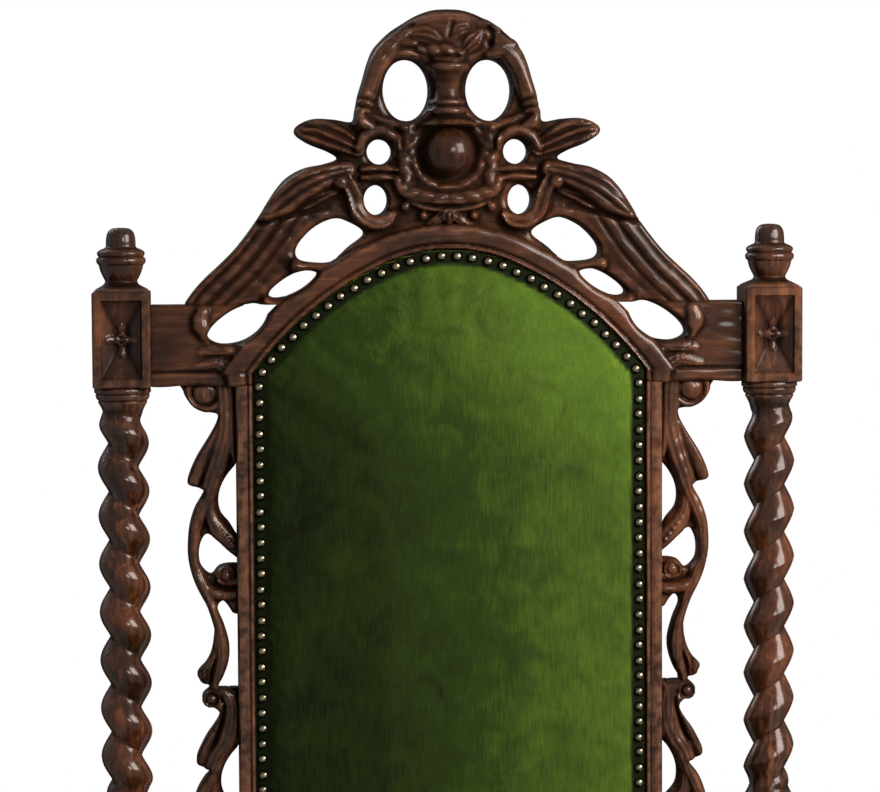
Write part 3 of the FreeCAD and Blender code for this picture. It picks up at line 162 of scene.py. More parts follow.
def opposite(shape):
    """The right-hand partner of a left-hand shape: across turned round, faces turned back outwards."""
    points, faces, marks = shape
    return points * np.array([-1.0, 1.0, 1.0]), [face[::-1] for face in faces], marks


def shifted(shape, offset):
    """A shape moved by an offset."""
    points, faces, marks = shape
    return points + np.array(offset), faces, marks


def leaned_back(shape):
    """A shape drawn upright, turned with the back."""
    points, faces, marks = shape
    return leaned(points), faces, marks


def ringed(rings, polish=0.7):
    """A tube with its marks."""
    points, faces = tube(rings)
    return points, faces, tube_marks(rings, polish)


def new_object(name, data):
    """An object in the scene for a mesh, a camera or a lamp."""
    made = bpy.data.objects.new(name, data)
    bpy.context.scene.collection.objects.link(made)
    return made


def set_mark(mesh, word, values):
    """One value at every point of a mesh, for its material to read."""
    mark = mesh.attributes.new(word, "FLOAT", "POINT")
    mark.data.foreach_set("value", np.asarray(values, np.float32))


TURNED_CREASE = 38.0
CARVED_CREASE = 50.0
NAIL_CREASE = 60.0


def piece(name, shape, finish, stands_for=(), crease=TURNED_CREASE):
    """Puts a shape in millimetres into a smooth-shaded mesh that rides on the chair."""
    points, faces = shape[:2]
    marks = shape[2] if len(shape) > 2 else {}
    mesh = bpy.data.meshes.new(name)
    mesh.from_pydata((np.asarray(points) * MM).tolist(), [], faces)
    mesh.shade_smooth()
    mesh.set_sharp_from_angle(angle=math.radians(crease))
    for word, values in marks.items():
        set_mark(mesh, word, values)
    mesh.materials.append(finish)
    made = new_object(name, mesh)
    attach(made, "root")
    if stands_for:
        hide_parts(*stands_for)
    return made


# Finishes

def fit(tree, node, inputs):
    """Each named input of a shader node, either set or linked."""
    for word, given in inputs.items():
        if isinstance(given, bpy.types.NodeSocket):
            tree.links.new(given, node.inputs[word])
        else:
            node.inputs[word].default_value = given


def add(tree, kind, settings=None, inputs=None):
    """One shader node with its settings and its inputs."""
    made = tree.nodes.new(kind)
    for word, setting in (settings or {}).items():
        setattr(made, word, setting)
    fit(tree, made, inputs or {})
    return made


def maths(tree, how, first, second=0.0, third=0.0, clamp=False):
    """One sum; the third value counts only in an operation that takes three."""
    made = add(tree, "ShaderNodeMath", {"operation": how, "use_clamp": clamp},
               {0: first, 1: second, 2: third})
    return made.outputs[0]


def opaque(colour):
    """A plain red, green and blue with full alpha; a socket stays as it is."""
    return colour if isinstance(colour, bpy.types.NodeSocket) else (*colour, 1.0)


def mixed(tree, share, first, second):
    """Two colours mixed by a share, each a socket or a plain colour."""
    made = add(tree, "ShaderNodeMix", {"data_type": "RGBA"},
               {0: share, 6: opaque(first), 7: opaque(second)})
    return made.outputs[2]


def ramp(tree, share, stops):
    """Colours or greys at their shares, blended between."""
    made = add(tree, "ShaderNodeValToRGB", {}, {0: share})
    band = made.color_ramp
    while len(band.elements) < len(stops):
        band.elements.new(0.5)
    for element, (at, colour) in zip(band.elements, stops):
        element.position = at
        element.color = (*colour, 1.0)
    return made.outputs[0]


def grey(level):
    """A colour of one level in all three channels."""
    return (level, level, level)


def noise(tree, place, scale, detail=3.0, distortion=0.0):
    """Cloudy noise between 0 and 1, with so many clouds to a unit of the place."""
    made = add(tree, "ShaderNodeTexNoise", {},
               {"Vector": place, "Scale": scale, "Detail": detail, "Distortion": distortion})
    return made.outputs[0]


def stretched(tree, place, scale, turn=(0.0, 0.0, 0.0)):
    """A place scaled along each axis, and turned."""
    made = add(tree, "ShaderNodeMapping", {}, {"Vector": place, "Scale": scale, "Rotation": turn})
    return made.outputs[0]


def eased_range(tree, value, low, high, first, last):
    """A value between low and high carried to one between first and last, along an S curve."""
    made = add(tree, "ShaderNodeMapRange", {"interpolation_type": "SMOOTHSTEP"},
               {"Value": value, "From Min": low, "From Max": high, "To Min": first, "To Max": last})
    return made.outputs[0]


def own_place(tree):
    """The place on the piece, in metres of the shared frame."""
    return add(tree, "ShaderNodeTexCoord").outputs["Object"]


def mark_of(tree, word):
    """A mark that the piece carries at its points; 0 where it has none."""
    return add(tree, "ShaderNodeAttribute", {"attribute_name": word}).outputs["Fac"]


def shader_group(name, inputs, outputs):
    """A node group with named float, vector or colour sockets: its tree, what it is given, its end."""
    tree = bpy.data.node_groups.new(name, "ShaderNodeTree")
    for way, sockets in (("INPUT", inputs), ("OUTPUT", outputs)):
        for word, kind in sockets:
            tree.interface.new_socket(word, in_out=way, socket_type="NodeSocket" + kind)
    return tree, tree.nodes.new("NodeGroupInput").outputs, tree.nodes.new("NodeGroupOutput")


def waxed_grain():
    """Old waxed walnut: figure and pores along the grain, smoke in patches, rubbed edges, dirt and painted
    shade in hollows.

    Polished places take a redder figure, and hollows are rougher and less glossy.
    """
    tree, given, end = shader_group(
        "waxed_grain",
        [("Place", "Vector"), ("Grain", "Vector"), ("Hollow", "Float"), ("Worn", "Float"),
         ("Polish", "Float")],
        [("Colour", "Color"), ("Roughness", "Float"), ("Height", "Float"), ("Gloss", "Float")])
    place, grain, hollow, polish = given["Place"], given["Grain"], given["Hollow"], given["Polish"]
    patches = noise(tree, place, 7.0, 3.0, 0.4)
    figure = noise(tree, grain, 1.0, 5.0, 0.7)
    pores = noise(tree, grain, 6.0, 2.0)
    scuffs = noise(tree, place, 130.0, 4.0, 0.3)
    ruddy = ramp(tree, patches, [(0.42, grey(0.0)), (0.66, grey(1.0))])
    smoke = ramp(tree, noise(tree, place, 17.0, 4.0, 0.6), [(0.40, grey(1.0)), (0.58, grey(0.0))])
    pore_mask = ramp(tree, pores, [(0.30, grey(1.0)), (0.42, grey(0.0))])
    patchy = ramp(tree, scuffs, [(0.38, grey(0.0)), (0.62, grey(1.0))])
    rubbed = maths(tree, "MULTIPLY", given["Worn"], patchy, clamp=True)
    stains = ((ruddy, 0.65, (0.095, 0.0290, 0.0105)), (smoke, 0.7, (0.0042, 0.0019, 0.0013)),
              (pore_mask, 0.6, (0.005, 0.0022, 0.0016)), (rubbed, 0.5, (0.145, 0.066, 0.0350)))
    colour = ramp(tree, figure, [(0.25, (0.0062, 0.0025, 0.0016)), (0.5, (0.0260, 0.0093, 0.0046)),
                                 (0.75, (0.0900, 0.0360, 0.0170))])
    for mask, share, stain in stains:
        colour = mixed(tree, maths(tree, "MULTIPLY", mask, share), colour, stain)
    ruby = ramp(tree, figure, [(0.28, (0.0050, 0.0014, 0.0007)), (0.5, (0.0300, 0.0080, 0.0028)),
                               (0.74, (0.1350, 0.0440, 0.0130))])
    ruby = mixed(tree, maths(tree, "MULTIPLY", smoke, 0.7), ruby, (0.0042, 0.0016, 0.0010))
    colour = mixed(tree, maths(tree, "MULTIPLY", polish, 0.6), colour, ruby)
    # Dirt and painted shade: the colour goes nearly black where the hollow mark is high
    dirt_and_shade = maths(tree, "MULTIPLY", hollow, 0.9, clamp=True)
    colour = mixed(tree, dirt_and_shade, colour, (0.0025, 0.0012, 0.0009))
    rough = maths(tree, "MULTIPLY_ADD", patches, 0.30, 0.14)
    matt = maths(tree, "SUBTRACT", 1.0, maths(tree, "MULTIPLY", polish, 0.15))
    rough = maths(tree, "MULTIPLY", rough, matt)
    rough = maths(tree, "ADD", rough, maths(tree, "MULTIPLY", hollow, 0.28), clamp=True)
    height = maths(tree, "SUBTRACT", maths(tree, "MULTIPLY", figure, 0.5),
                   maths(tree, "MULTIPLY", pore_mask, 0.5))
    height = maths(tree, "ADD", height, maths(tree, "MULTIPLY", scuffs, 0.45))
    gloss = maths(tree, "SUBTRACT", 0.28, maths(tree, "MULTIPLY", hollow, 0.28), clamp=True)
    fit(tree, end, {"Colour": colour, "Roughness": rough, "Height": height, "Gloss": gloss})
    return tree


def finish_start(name):
    """A new material with its Principled shader."""
    made = bpy.data.materials.new(name)
    made.use_nodes = True
    tree = made.node_tree
    return made, tree, tree.nodes["Principled BSDF"]


def bumped(tree, shader, height, distance, strength):
    """Relief from a height, as bumps a distance in metres deep."""
    bump = add(tree, "ShaderNodeBump", {}, {"Height": height, "Distance": distance, "Strength": strength})
    tree.links.new(bump.outputs[0], shader.inputs["Normal"])


GRAIN_GROUP = waxed_grain()
GRAIN_ALONG = 14.0
GRAIN_ACROSS = 190.0


def waxed_wood(name, along):
    """Waxed wood whose grain runs along one axis: the pattern is drawn out that way.

    The rims of carved boards are painted darker, as shade, and are dull; the old wax is dull where
    it is seen at a low angle.
    """
    made, tree, shader = finish_start(name)
    place = own_place(tree)
    scale = [GRAIN_ALONG if axis == along else GRAIN_ACROSS for axis in "xyz"]
    rim = mark_of(tree, "rim")
    # The rims count as hollow: painted shade along the boards' cut edges and walls
    hollow = maths(tree, "MAXIMUM", mark_of(tree, "hollow"), maths(tree, "MULTIPLY", rim, 0.6))
    grain = add(tree, "ShaderNodeGroup", {"node_tree": GRAIN_GROUP},
                {"Place": place, "Grain": stretched(tree, place, scale), "Hollow": hollow,
                 "Worn": mark_of(tree, "worn"), "Polish": mark_of(tree, "polish")}).outputs
    facing = add(tree, "ShaderNodeLayerWeight", {}, {"Blend": 0.5}).outputs["Facing"]
    graze = eased_range(tree, facing, 0.32, 0.70, 0.0, 0.98)
    dull = maths(tree, "MAXIMUM", graze, maths(tree, "MULTIPLY", rim, 0.85))
    coat = maths(tree, "MULTIPLY", grain["Gloss"], maths(tree, "SUBTRACT", 1.0, dull))
    fit(tree, shader, {"Base Color": grain["Colour"], "Coat Weight": coat, "Coat Roughness": 0.15,
                       "Roughness": maths(tree, "MAXIMUM", grain["Roughness"], dull),
                       "Specular IOR Level": 0.05, "Specular Tint": (1.0, 0.60, 0.44, 1.0)})
    bumped(tree, shader, grain["Height"], 0.0008, 0.55)
    return made


def velvet_pile():
    """Cotton velvet: streaks along the nap, mottled pressed patches and broad clouds round a given lift."""
    tree, given, end = shader_group(
        "velvet_pile", [("Place", "Vector"), ("Nap", "Vector"), ("Lift", "Float")],
        [("Colour", "Color"), ("Roughness", "Float"), ("Height", "Float")])
    clouds = noise(tree, given["Place"], 6.0, 3.0, 0.5)
    mottle = noise(tree, given["Place"], 42.0, 5.0, 0.8)
    streaks = noise(tree, given["Nap"], 1.0, 4.0)
    lift = given["Lift"]
    for part, share in ((clouds, 0.34), (mottle, 0.34), (streaks, 0.28)):
        lift = maths(tree, "ADD", lift, maths(tree, "MULTIPLY", maths(tree, "SUBTRACT", part, 0.5), share))
    colour = ramp(tree, lift, [(0.0, (0.0030, 0.0042, 0.0010)), (0.3, (0.0130, 0.0240, 0.0030)),
                               (0.6, (0.0430, 0.0740, 0.0070)), (1.0, (0.1600, 0.2150, 0.0190))])
    pile = noise(tree, given["Nap"], 3.0, 2.0)
    height = maths(tree, "ADD", maths(tree, "MULTIPLY", mottle, 0.7), maths(tree, "MULTIPLY", pile, 0.5))
    fit(tree, end, {"Colour": colour, "Height": height,
                    "Roughness": maths(tree, "MULTIPLY_ADD", mottle, 0.2, 0.75, clamp=True)})
    return tree


VELVET_GROUP = velvet_pile()


def green_velvet(name, nap, dark, light, top):
    """Velvet with its nap along one direction, with painted light: lighter to the right and towards the top.

    Along the nails it is painted darker, as the shade where the cover is pulled down under them.
    """
    made, tree, shader = finish_start(name)
    place = own_place(tree)
    parts = add(tree, "ShaderNodeSeparateXYZ", {}, {0: place}).outputs
    # Painted light: the lift rises from the left to the right, as if lit from the right
    side = eased_range(tree, parts["X"], -0.17, 0.19, dark, light)
    # Painted light: lighter towards the top, as if lit from above
    high = eased_range(tree, parts["Z"], 0.90, 1.20, -0.3 * top, top)
    # Painted shade: darker in the band along the nails
    nail_band_shade = maths(tree, "MULTIPLY", mark_of(tree, "nail_band_shade"), 0.9)
    lift = maths(tree, "SUBTRACT", maths(tree, "ADD", side, high), nail_band_shade)
    pile = add(tree, "ShaderNodeGroup", {"node_tree": VELVET_GROUP},
               {"Place": place, "Nap": stretched(tree, place, nap), "Lift": lift}).outputs
    fit(tree, shader, {"Base Color": pile["Colour"], "Roughness": pile["Roughness"],
                       "Specular IOR Level": 0.05, "Sheen Weight": 0.35, "Sheen Roughness": 0.35,
                       "Sheen Tint": (0.45, 0.75, 0.08, 1.0)})
    bumped(tree, shader, pile["Height"], 0.0006, 0.5)
    return made


def aged_brass():
    """Nail brass gone brown: tarnish in patches, bright on top where it is rubbed, which is also a painted
    highlight.
    """
    made, tree, shader = finish_start("aged_brass")
    place = own_place(tree)
    tarnish = ramp(tree, noise(tree, place, 160.0, 3.0), [(0.35, grey(0.0)), (0.65, grey(1.0))])
    colour = mixed(tree, tarnish, (0.014, 0.0105, 0.0070), (0.005, 0.004, 0.003))
    # Rubbed brass on top: real wear, and a painted highlight at the middle of each head
    colour = mixed(tree, mark_of(tree, "worn"), colour, (0.210, 0.178, 0.115))
    fit(tree, shader, {"Base Color": colour, "Metallic": 1.0,
                       "Roughness": maths(tree, "MULTIPLY_ADD", tarnish, 0.12, 0.13)})
    bumped(tree, shader, noise(tree, place, 900.0, 2.0), 0.0002, 0.4)
    return made


def plain_weave():
    """Plain weave: two sets of threads that pass over and under, as a product of two waves."""
    tree, given, end = shader_group(
        "plain_weave", [("Place", "Vector"), ("Thread", "Color"), ("Shadow", "Color")],
        [("Colour", "Color"), ("Height", "Float")])
    threads = []
    for axis in ("X", "Y"):
        wave = add(tree, "ShaderNodeTexWave", {"bands_direction": axis},
                   {"Vector": given["Place"], "Scale": 0.5, "Distortion": 0.6, "Detail": 2.0})
        threads.append(wave.outputs["Fac"])
    woven = maths(tree, "MULTIPLY", *threads)
    slubs = noise(tree, given["Place"], 0.12, 4.0)
    share = maths(tree, "MULTIPLY", maths(tree, "ADD", woven, 0.25), maths(tree, "ADD", slubs, 0.3),
                  clamp=True)
    fit(tree, end, {"Colour": mixed(tree, share, given["Shadow"], given["Thread"]), "Height": woven})
    return tree


WEAVE_GROUP = plain_weave()


def woven_cloth(name, thread, shadow, turn):
    """A plain-woven cloth of 0.9 mm threads in two near tones, laid in the plane that the turn gives."""
    made, tree, shader = finish_start(name)
    threads = stretched(tree, own_place(tree), (700.0, 700.0, 700.0), turn)
    weave = add(tree, "ShaderNodeGroup", {"node_tree": WEAVE_GROUP},
                {"Place": threads, "Thread": opaque(thread), "Shadow": opaque(shadow)}).outputs
    fit(tree, shader, {"Base Color": weave["Colour"], "Roughness": 0.9, "Specular IOR Level": 0.2})
    bumped(tree, shader, weave["Height"], 0.0003, 0.5)
    return made


WOOD_UP = waxed_wood("waxed_wood_up", "z")
WOOD_ACROSS = waxed_wood("waxed_wood_across", "x")
WOOD_DEEP = waxed_wood("waxed_wood_deep", "y")
# For both velvets the last three numbers are painted light: the lift at the left, at the right and towards
# the top
BACK_VELVET = green_velvet("back_velvet", (620.0, 620.0, 46.0), 0.09, 0.50, 0.15)
SEAT_VELVET = green_velvet("seat_velvet", (620.0, 46.0, 620.0), 0.30, 0.58, 0.0)
BRASS = aged_brass()
LINING = woven_cloth("lining_cloth", (0.050, 0.034, 0.022), (0.016, 0.011, 0.008), (math.pi / 2, 0.0, 0.0))
DUST_CLOTH = woven_cloth("dust_cloth", (0.030, 0.028, 0.026), (0.008, 0.008, 0.008), (0.0, 0.0, 0.0))


# Turned, squared and twisted members: rings of points stacked along an axis

SIDE_FLAT = 37
SIDE_ALL = 40
AROUND = 4 * SIDE_ALL
RING_TURN = (np.arange(AROUND) - SIDE_FLAT // 2) * (2 * math.pi / AROUND)


def round_ring(radius):
    """A circle, anticlockwise from where the flat +x side of a square ring starts."""
    return np.stack([radius * np.cos(RING_TURN), radius * np.sin(RING_TURN)], axis=-1)


def square_ring(half, corner):
    """A square with rounded corners, with as many points as a round ring: a flat side, then a corner."""
    run = np.linspace(-1, 1, SIDE_FLAT) * (half - corner)
    flat = np.stack([np.full(SIDE_FLAT, half), run], axis=-1)
    bend = np.radians([22.5, 45.0, 67.5])
    middle = half - corner
    arc = np.stack([middle + corner * np.cos(bend), middle + corner * np.sin(bend)], axis=-1)
    side = np.vstack([flat, arc])
    turns = [np.array([[math.cos(a), math.sin(a)], [-math.sin(a), math.cos(a)]])
             for a in (0.0, math.pi / 2, math.pi, 1.5 * math.pi)]
    return np.vstack([side @ turn for turn in turns])


def stacked(rows):
    """Rings from rows of height and plan; a twist's rows also say by how many points they have turned.

    After a twist the later rings are numbered on from where it stopped, so that quads stay unwrung.
    """
    rings, passed, turned = [], 0, 0.0
    for height, plan, *drift in rows:
        if not drift:
            passed += round(turned)
        turned = drift[0] if drift else 0.0
        ring = np.column_stack([plan, np.full(AROUND, height)])
        rings.append(np.roll(ring, -passed, axis=0))
    return np.array(rings)


def turned_rows(profile):
    """Rings of a turned part from pairs of height and radius."""
    return [(height, round_ring(radius)) for height, radius in profile]


def petals(x, z, reach, count):
    """A small carved flower: a dome parted into lobes by the angle, and a ring sunk round a bead."""
    share = np.hypot(x, z) / reach
    lobes = np.abs(np.cos(0.5 * count * np.arctan2(z, x))) ** 0.6
    bloom = half_round(share) * (0.66 + 0.34 * lobes * smooth(0.2, 0.6, share))
    bead = half_round(share / 0.30)
    return bloom - 0.22 * hump((share - 0.36) / 0.14) + 0.28 * bead


def sunk_panel(x, z, half_wide, half_tall):
    """Depth of a block's carved panel: a step, four facets that fall to the middle, a flower and leaves."""
    share = 1 - np.maximum(np.abs(x) / half_wide, np.abs(z) / half_tall)
    step = smooth(0.0, 0.05, share)
    depth = step * (1.8 + 10.5 * np.clip(share, 0, 1))
    flower = 4.8 * petals(x, z, 6.0, 4)
    leaves = np.zeros_like(x)
    for along, across in ((np.abs(x), z), (np.abs(z), x)):
        half = 3.4 * np.sin(math.pi * np.clip((along - 2.5) / 11.5, 0, 1)) + 1e-3
        leaf = 1.7 * half_round(across / half)
        leaves = np.maximum(leaves, np.where((along > 2.5) & (along < 14.0), leaf, 0.0))
    return np.clip(depth - np.maximum(flower, leaves), 0, None) * (share > 0)


BLOCK_EASE = 1.4
BLOCK_CORNER = 2.0
CHAMFER_WIDE = 9.0
PANEL_MARGIN = 7.0
PANEL_ROWS = 56


def block_rows(low, high, half=POST_HALF, panel=False, chamfer=None):
    """Rings of a square block with eased ends, a carved panel in its front, or chamfered corners."""
    count = PANEL_ROWS if panel else int((high - low) / 4)
    inner = np.linspace(low + BLOCK_EASE, high - BLOCK_EASE, count)[1:-1]
    levels = np.concatenate([[low, low + BLOCK_EASE], inner, [high - BLOCK_EASE, high]])
    if chamfer:
        stops = [chamfer[0], chamfer[0] + CHAMFER_WIDE, chamfer[1] - CHAMFER_WIDE, chamfer[1]]
        levels = np.sort(np.concatenate([levels, stops]))
    rows = []
    for level in levels:
        inset = BLOCK_EASE if level in (low, high) else 0.0
        chamfered = chamfer and chamfer[0] + 1 < level < chamfer[1] - 1
        plan = square_ring(half - inset, CHAMFER_WIDE if chamfered else BLOCK_CORNER)
        if panel:
            front = slice(3 * SIDE_ALL, 3 * SIDE_ALL + SIDE_FLAT)
            plan[front, 1] += sunk_panel(plan[front, 0], level - (low + high) / 2, half - PANEL_MARGIN,
                                         (high - low) / 2 - PANEL_MARGIN)
        rows.append((level, plan))
    return rows


# Lengths of the posts as (low, high), from the floor up
FOOT_TALL = 55.0
LEG_CHAMFER = (182.0, 338.0)
RAIL_BLOCK = (500.0, 590.0)
ARM_BLOCK = (645.0, 722.0)
TOP_BLOCK = (1088.0, 1168.0)
LOW_BLOCK = (95.0, 165.0)
SEAT_BLOCK = (350.0, 445.0)
ARM_SEAT = 650.0

# Twists as (root radius, height of the ridge, pitch)
POST_TWIST = (12.6, 8.9, 40.4)
STRETCHER_TWIST = (9.6, 6.4, 36.0)
STRETCHER_SCALE = 0.765
TWIST_END = 16.6
REAR_TWIST_START = 330.0
COLLAR_TALL = 20.0
PROFILE_STEPS = 3

# Turned profiles as (share of the height, radius)
COLLAR = [(0.0, 22.6), (0.05, 23.4), (0.20, 23.5), (0.26, 22.0), (0.32, 22.5), (0.48, 21.6), (0.55, 19.9),
          (0.62, 20.4), (0.80, 18.4), (1.0, TWIST_END)]
SPINDLE = [(0.0, 22.8), (0.03, 23.5), (0.12, 23.5), (0.15, 21.0), (0.18, 20.6), (0.24, 16.4), (0.34, 14.8),
           (0.42, 18.2), (0.50, 21.6), (0.58, 18.2), (0.66, 14.8), (0.76, 16.4), (0.82, 20.6), (0.85, 21.0),
           (0.88, 23.5), (0.97, 23.5), (1.0, 22.8)]


def profile_rows(shares, low, high):
    """A turned profile, given as shares of its height from low to high, as rings."""
    rows = [(low + (high - low) * share, radius) for share, radius in curve(shares, PROFILE_STEPS)]
    return turned_rows(rows if high > low else rows[::-1])


def twist_rows(low, high, twist, start, rest, arris):
    """Barley twist, left-hand: radius root + ridge * sin(half the angle from the groove) ** 1.4.

    An arris shares the ridge with a straight-sided one that comes to an edge. The groove stands at start
    degrees at the foot and turns once in a pitch, and the rings' points turn with it. Both ends fade to a
    round.
    """
    root, ridge, pitch = twist
    around = (RING_TURN - math.radians(start)) % (2 * math.pi)
    soft = np.sin(around / 2) ** 1.4
    edged = (1 - np.abs(1 - around / math.pi)) ** 0.8
    section = root + ridge * ((1 - arris) * soft + arris * edged)
    rows = []
    for level in np.linspace(low, high, int((high - low) / 2.2)):
        drift = -2 * math.pi * (level - low) / pitch
        shown = smooth(low - 4, low + 17, level) * smooth(high + 4, high - 17, level)
        radius = rest + (section - rest) * shown
        plan = np.stack([radius * np.cos(RING_TURN + drift), radius * np.sin(RING_TURN + drift)], axis=-1)
        rows.append((level, plan, drift * AROUND / (2 * math.pi)))
    return rows


def twisted_length(low, high, twist, scale=1.0, start=0.0, arris=0.0):
    """A twist between two blocks, with a collar at each end."""
    collar = [(share, radius * scale) for share, radius in COLLAR]
    foot_end, head_end = low + COLLAR_TALL, high - COLLAR_TALL
    turns = twist_rows(foot_end, head_end, twist, start, TWIST_END * scale, arris)
    return profile_rows(collar, low, foot_end) + turns[1:-1] + profile_rows(collar, high, head_end)


def rear_post(arris):
    """Left rear post: square leg, leaning neck, blocks, vase and twist in one length, carved top block."""
    leg = block_rows(FOOT_TALL, LEAN_HEIGHT, chamfer=LEG_CHAMFER)
    upper = profile_rows(SPINDLE, LEAN_HEIGHT, RAIL_BLOCK[0]) + block_rows(*RAIL_BLOCK)
    upper += profile_rows(SPINDLE, RAIL_BLOCK[1], ARM_BLOCK[0]) + block_rows(*ARM_BLOCK)
    upper += twisted_length(ARM_BLOCK[1], TOP_BLOCK[0], POST_TWIST, start=REAR_TWIST_START, arris=arris)
    upper += block_rows(*TOP_BLOCK, panel=True)
    axis = np.array([-POST_X, 0.0, 0.0])
    rings = np.concatenate([stacked(leg) + axis + np.array([0.0, REAR_LINE, 0.0]),
                            leaned(stacked(upper) + axis)])
    return ringed(rings)


def front_post():
    """Left front post: ankle, low block, twisted leg, seat block and twisted arm support in one length."""
    rows = profile_rows(SPINDLE, FOOT_TALL, LOW_BLOCK[0]) + block_rows(*LOW_BLOCK, panel=True)
    rows += twisted_length(LOW_BLOCK[1], SEAT_BLOCK[0], POST_TWIST) + block_rows(*SEAT_BLOCK, panel=True)
    rows += twisted_length(SEAT_BLOCK[1], ARM_SEAT, POST_TWIST)
    return ringed(stacked(rows) + np.array([-POST_X, FRONT_LINE, 0.0]))


def foot():
    """Bun foot: pad, bun, groove and a neck that meets the post."""
    line = curve([(0.0, 16.5), (1.5, 18.0), (4.0, 19.0), (9.0, 24.2), (18.0, 27.0), (27.0, 25.2),
                  (34.0, 20.0), (37.0, 17.0), (40.0, 15.6), (43.0, 17.5), (45.0, 22.6), (48.0, 23.5),
                  (53.0, 23.4), (FOOT_TALL, 22.6)], 5)
    return ringed(stacked(turned_rows(line)))


def finial():
    """Turned finial: a hipped foot on the square block, a bowl, two rings and a flat-topped cap."""
    line = curve([(6.4, 13.9), (8.4, 13.4), (12.0, 15.2), (16.0, 17.0), (20.2, 18.2), (21.4, 18.4),
                  (22.6, 19.6), (24.6, 20.5), (26.8, 20.2), (28.0, 19.0), (28.6, 18.5), (29.4, 19.3),
                  (31.2, 19.8), (33.0, 18.9), (34.6, 16.2), (35.8, 13.4), (37.2, 12.4), (41.0, 12.3),
                  (45.0, 11.9), (48.2, 10.9), (50.2, 9.4), (51.6, 7.2), (52.2, 4.0), (52.4, 1.2)], 5)
    hip = [(0.0, square_ring(22.0, 2.0)), (1.2, square_ring(21.4, 3.0)), (4.6, square_ring(15.6, 8.0))]
    return ringed(stacked(hip + turned_rows(line)))


def boss():
    """Half-ball boss on a short stem, turned to face forward; darker all over, with painted shade round its
    foot.
    """
    line = curve([(-6.0, 20.8), (-1.0, 20.8), (2.0, 20.6), (6.0, 19.8), (10.0, 17.8), (13.6, 14.4),
                  (16.4, 9.8), (17.8, 5.0), (18.3, 1.2)], 5)
    points, faces, marks = ringed(stacked(turned_rows(line)), 1.0)
    # Painted shade round the foot where it meets the board, and a darker, less glossy tone all over
    marks["hollow"] = np.maximum(smooth(5.0, 0.5, points[:, 2]), 0.3)
    faced = np.stack([points[:, 0], -points[:, 2] - BACK_FACE + BOSS_SUNK,
                      points[:, 1] + ARCH_APEX + BOSS_UP], axis=-1)
    return leaned(faced), faces, marks


def along_y(rings):
    """Rings built upright, laid down so that their axis runs backwards."""
    return np.stack([rings[..., 0], rings[..., 2], -rings[..., 1]], axis=-1)


def along_x(rings):
    """Rings built upright, laid down so that their axis runs to the right."""
    return np.stack([rings[..., 2], rings[..., 1], -rings[..., 0]], axis=-1)


STRETCHER_LEVEL = 130.0
SIDE_BLOCK = (156.0, 226.0)
SIDE_END = 382.0
SIDE_BLOCK_HALF = 20.0
CROSS_BALL = (222.0, 282.0)
CROSS_END = 504.0
BALL = [(0.0, 17.6), (0.06, 18.2), (0.12, 17.0), (0.18, 15.4), (0.26, 18.6), (0.38, 22.2), (0.5, 23.2),
        (0.62, 22.2), (0.74, 18.6), (0.82, 15.4), (0.88, 17.0), (0.94, 18.2), (1.0, 17.6)]


def stretcher_rows(middle, gap, end):
    """Two twisted runs of a stretcher on either side of what stands in its middle gap."""
    first = twisted_length(0.0, gap[0], STRETCHER_TWIST, STRETCHER_SCALE)
    return first + middle + twisted_length(gap[1], end, STRETCHER_TWIST, STRETCHER_SCALE)


def side_stretcher():
    """Left stretcher from front post to rear post, with a square block where the cross stretcher enters."""
    rows = stretcher_rows(block_rows(*SIDE_BLOCK, half=SIDE_BLOCK_HALF), SIDE_BLOCK, SIDE_END)
    return ringed(along_y(stacked(rows)) + np.array([-POST_X, FRONT_LINE + POST_HALF, STRETCHER_LEVEL]))


def cross_stretcher():
    """Stretcher between the side stretchers, with a turned ball in the middle."""
    rows = stretcher_rows(profile_rows(BALL, *CROSS_BALL), CROSS_BALL, CROSS_END)
    return ringed(along_x(stacked(rows)) + np.array([-CROSS_END / 2, MIDDLE_LINE, STRETCHER_LEVEL]))


# Arms

def oval_ring(half_wide, half_tall, power, count=56):
    """A superellipse: |x / wide| ** power + |z / tall| ** power = 1."""
    turn = np.linspace(0, 2 * math.pi, count, endpoint=False)
    across = np.sign(np.cos(turn)) * np.abs(np.cos(turn)) ** (2 / power) * half_wide
    up = np.sign(np.sin(turn)) * np.abs(np.sin(turn)) ** (2 / power) * half_tall
    return across, up


ARM_TOP = 702.5
ARM_UNDER = 664.5
ARM_REAR = 196.4
ARM_FRONT = FRONT_LINE - 36.0
ROLL_RADIUS = 24.0
ROLL_HALF = 24.2
ROLL_LEVEL = 676.0


def arm_bar():
    """Rings of an oval bar whose top sags and whose underside drops to the front post."""
    rings = []
    for share in np.linspace(0, 1, 80):
        y = ARM_REAR + (ARM_FRONT - ARM_REAR) * share
        top = ARM_TOP - 2.5 * share - 72.0 * share * (1 - share)
        under = ARM_UNDER - 2.0 * smooth(0.0, 0.4, share) - 12.5 * smooth(0.74, 0.86, share)
        under += 3.0 * smooth(0.93, 1.0, share)
        wide = 46.0 - 5.0 * math.sin(math.pi * share) + 4.0 * share
        across, up = oval_ring(wide / 2, (top - under) / 2, 2.9)
        height = (top + under) / 2 + up
        lean = (height - (ARM_TOP + ARM_UNDER) / 2) * math.tan(RAKE) * (1 - smooth(0.0, 0.15, share))
        rings.append(np.stack([across, y + lean, height], axis=-1))
    return np.array(rings)[:, ::-1]


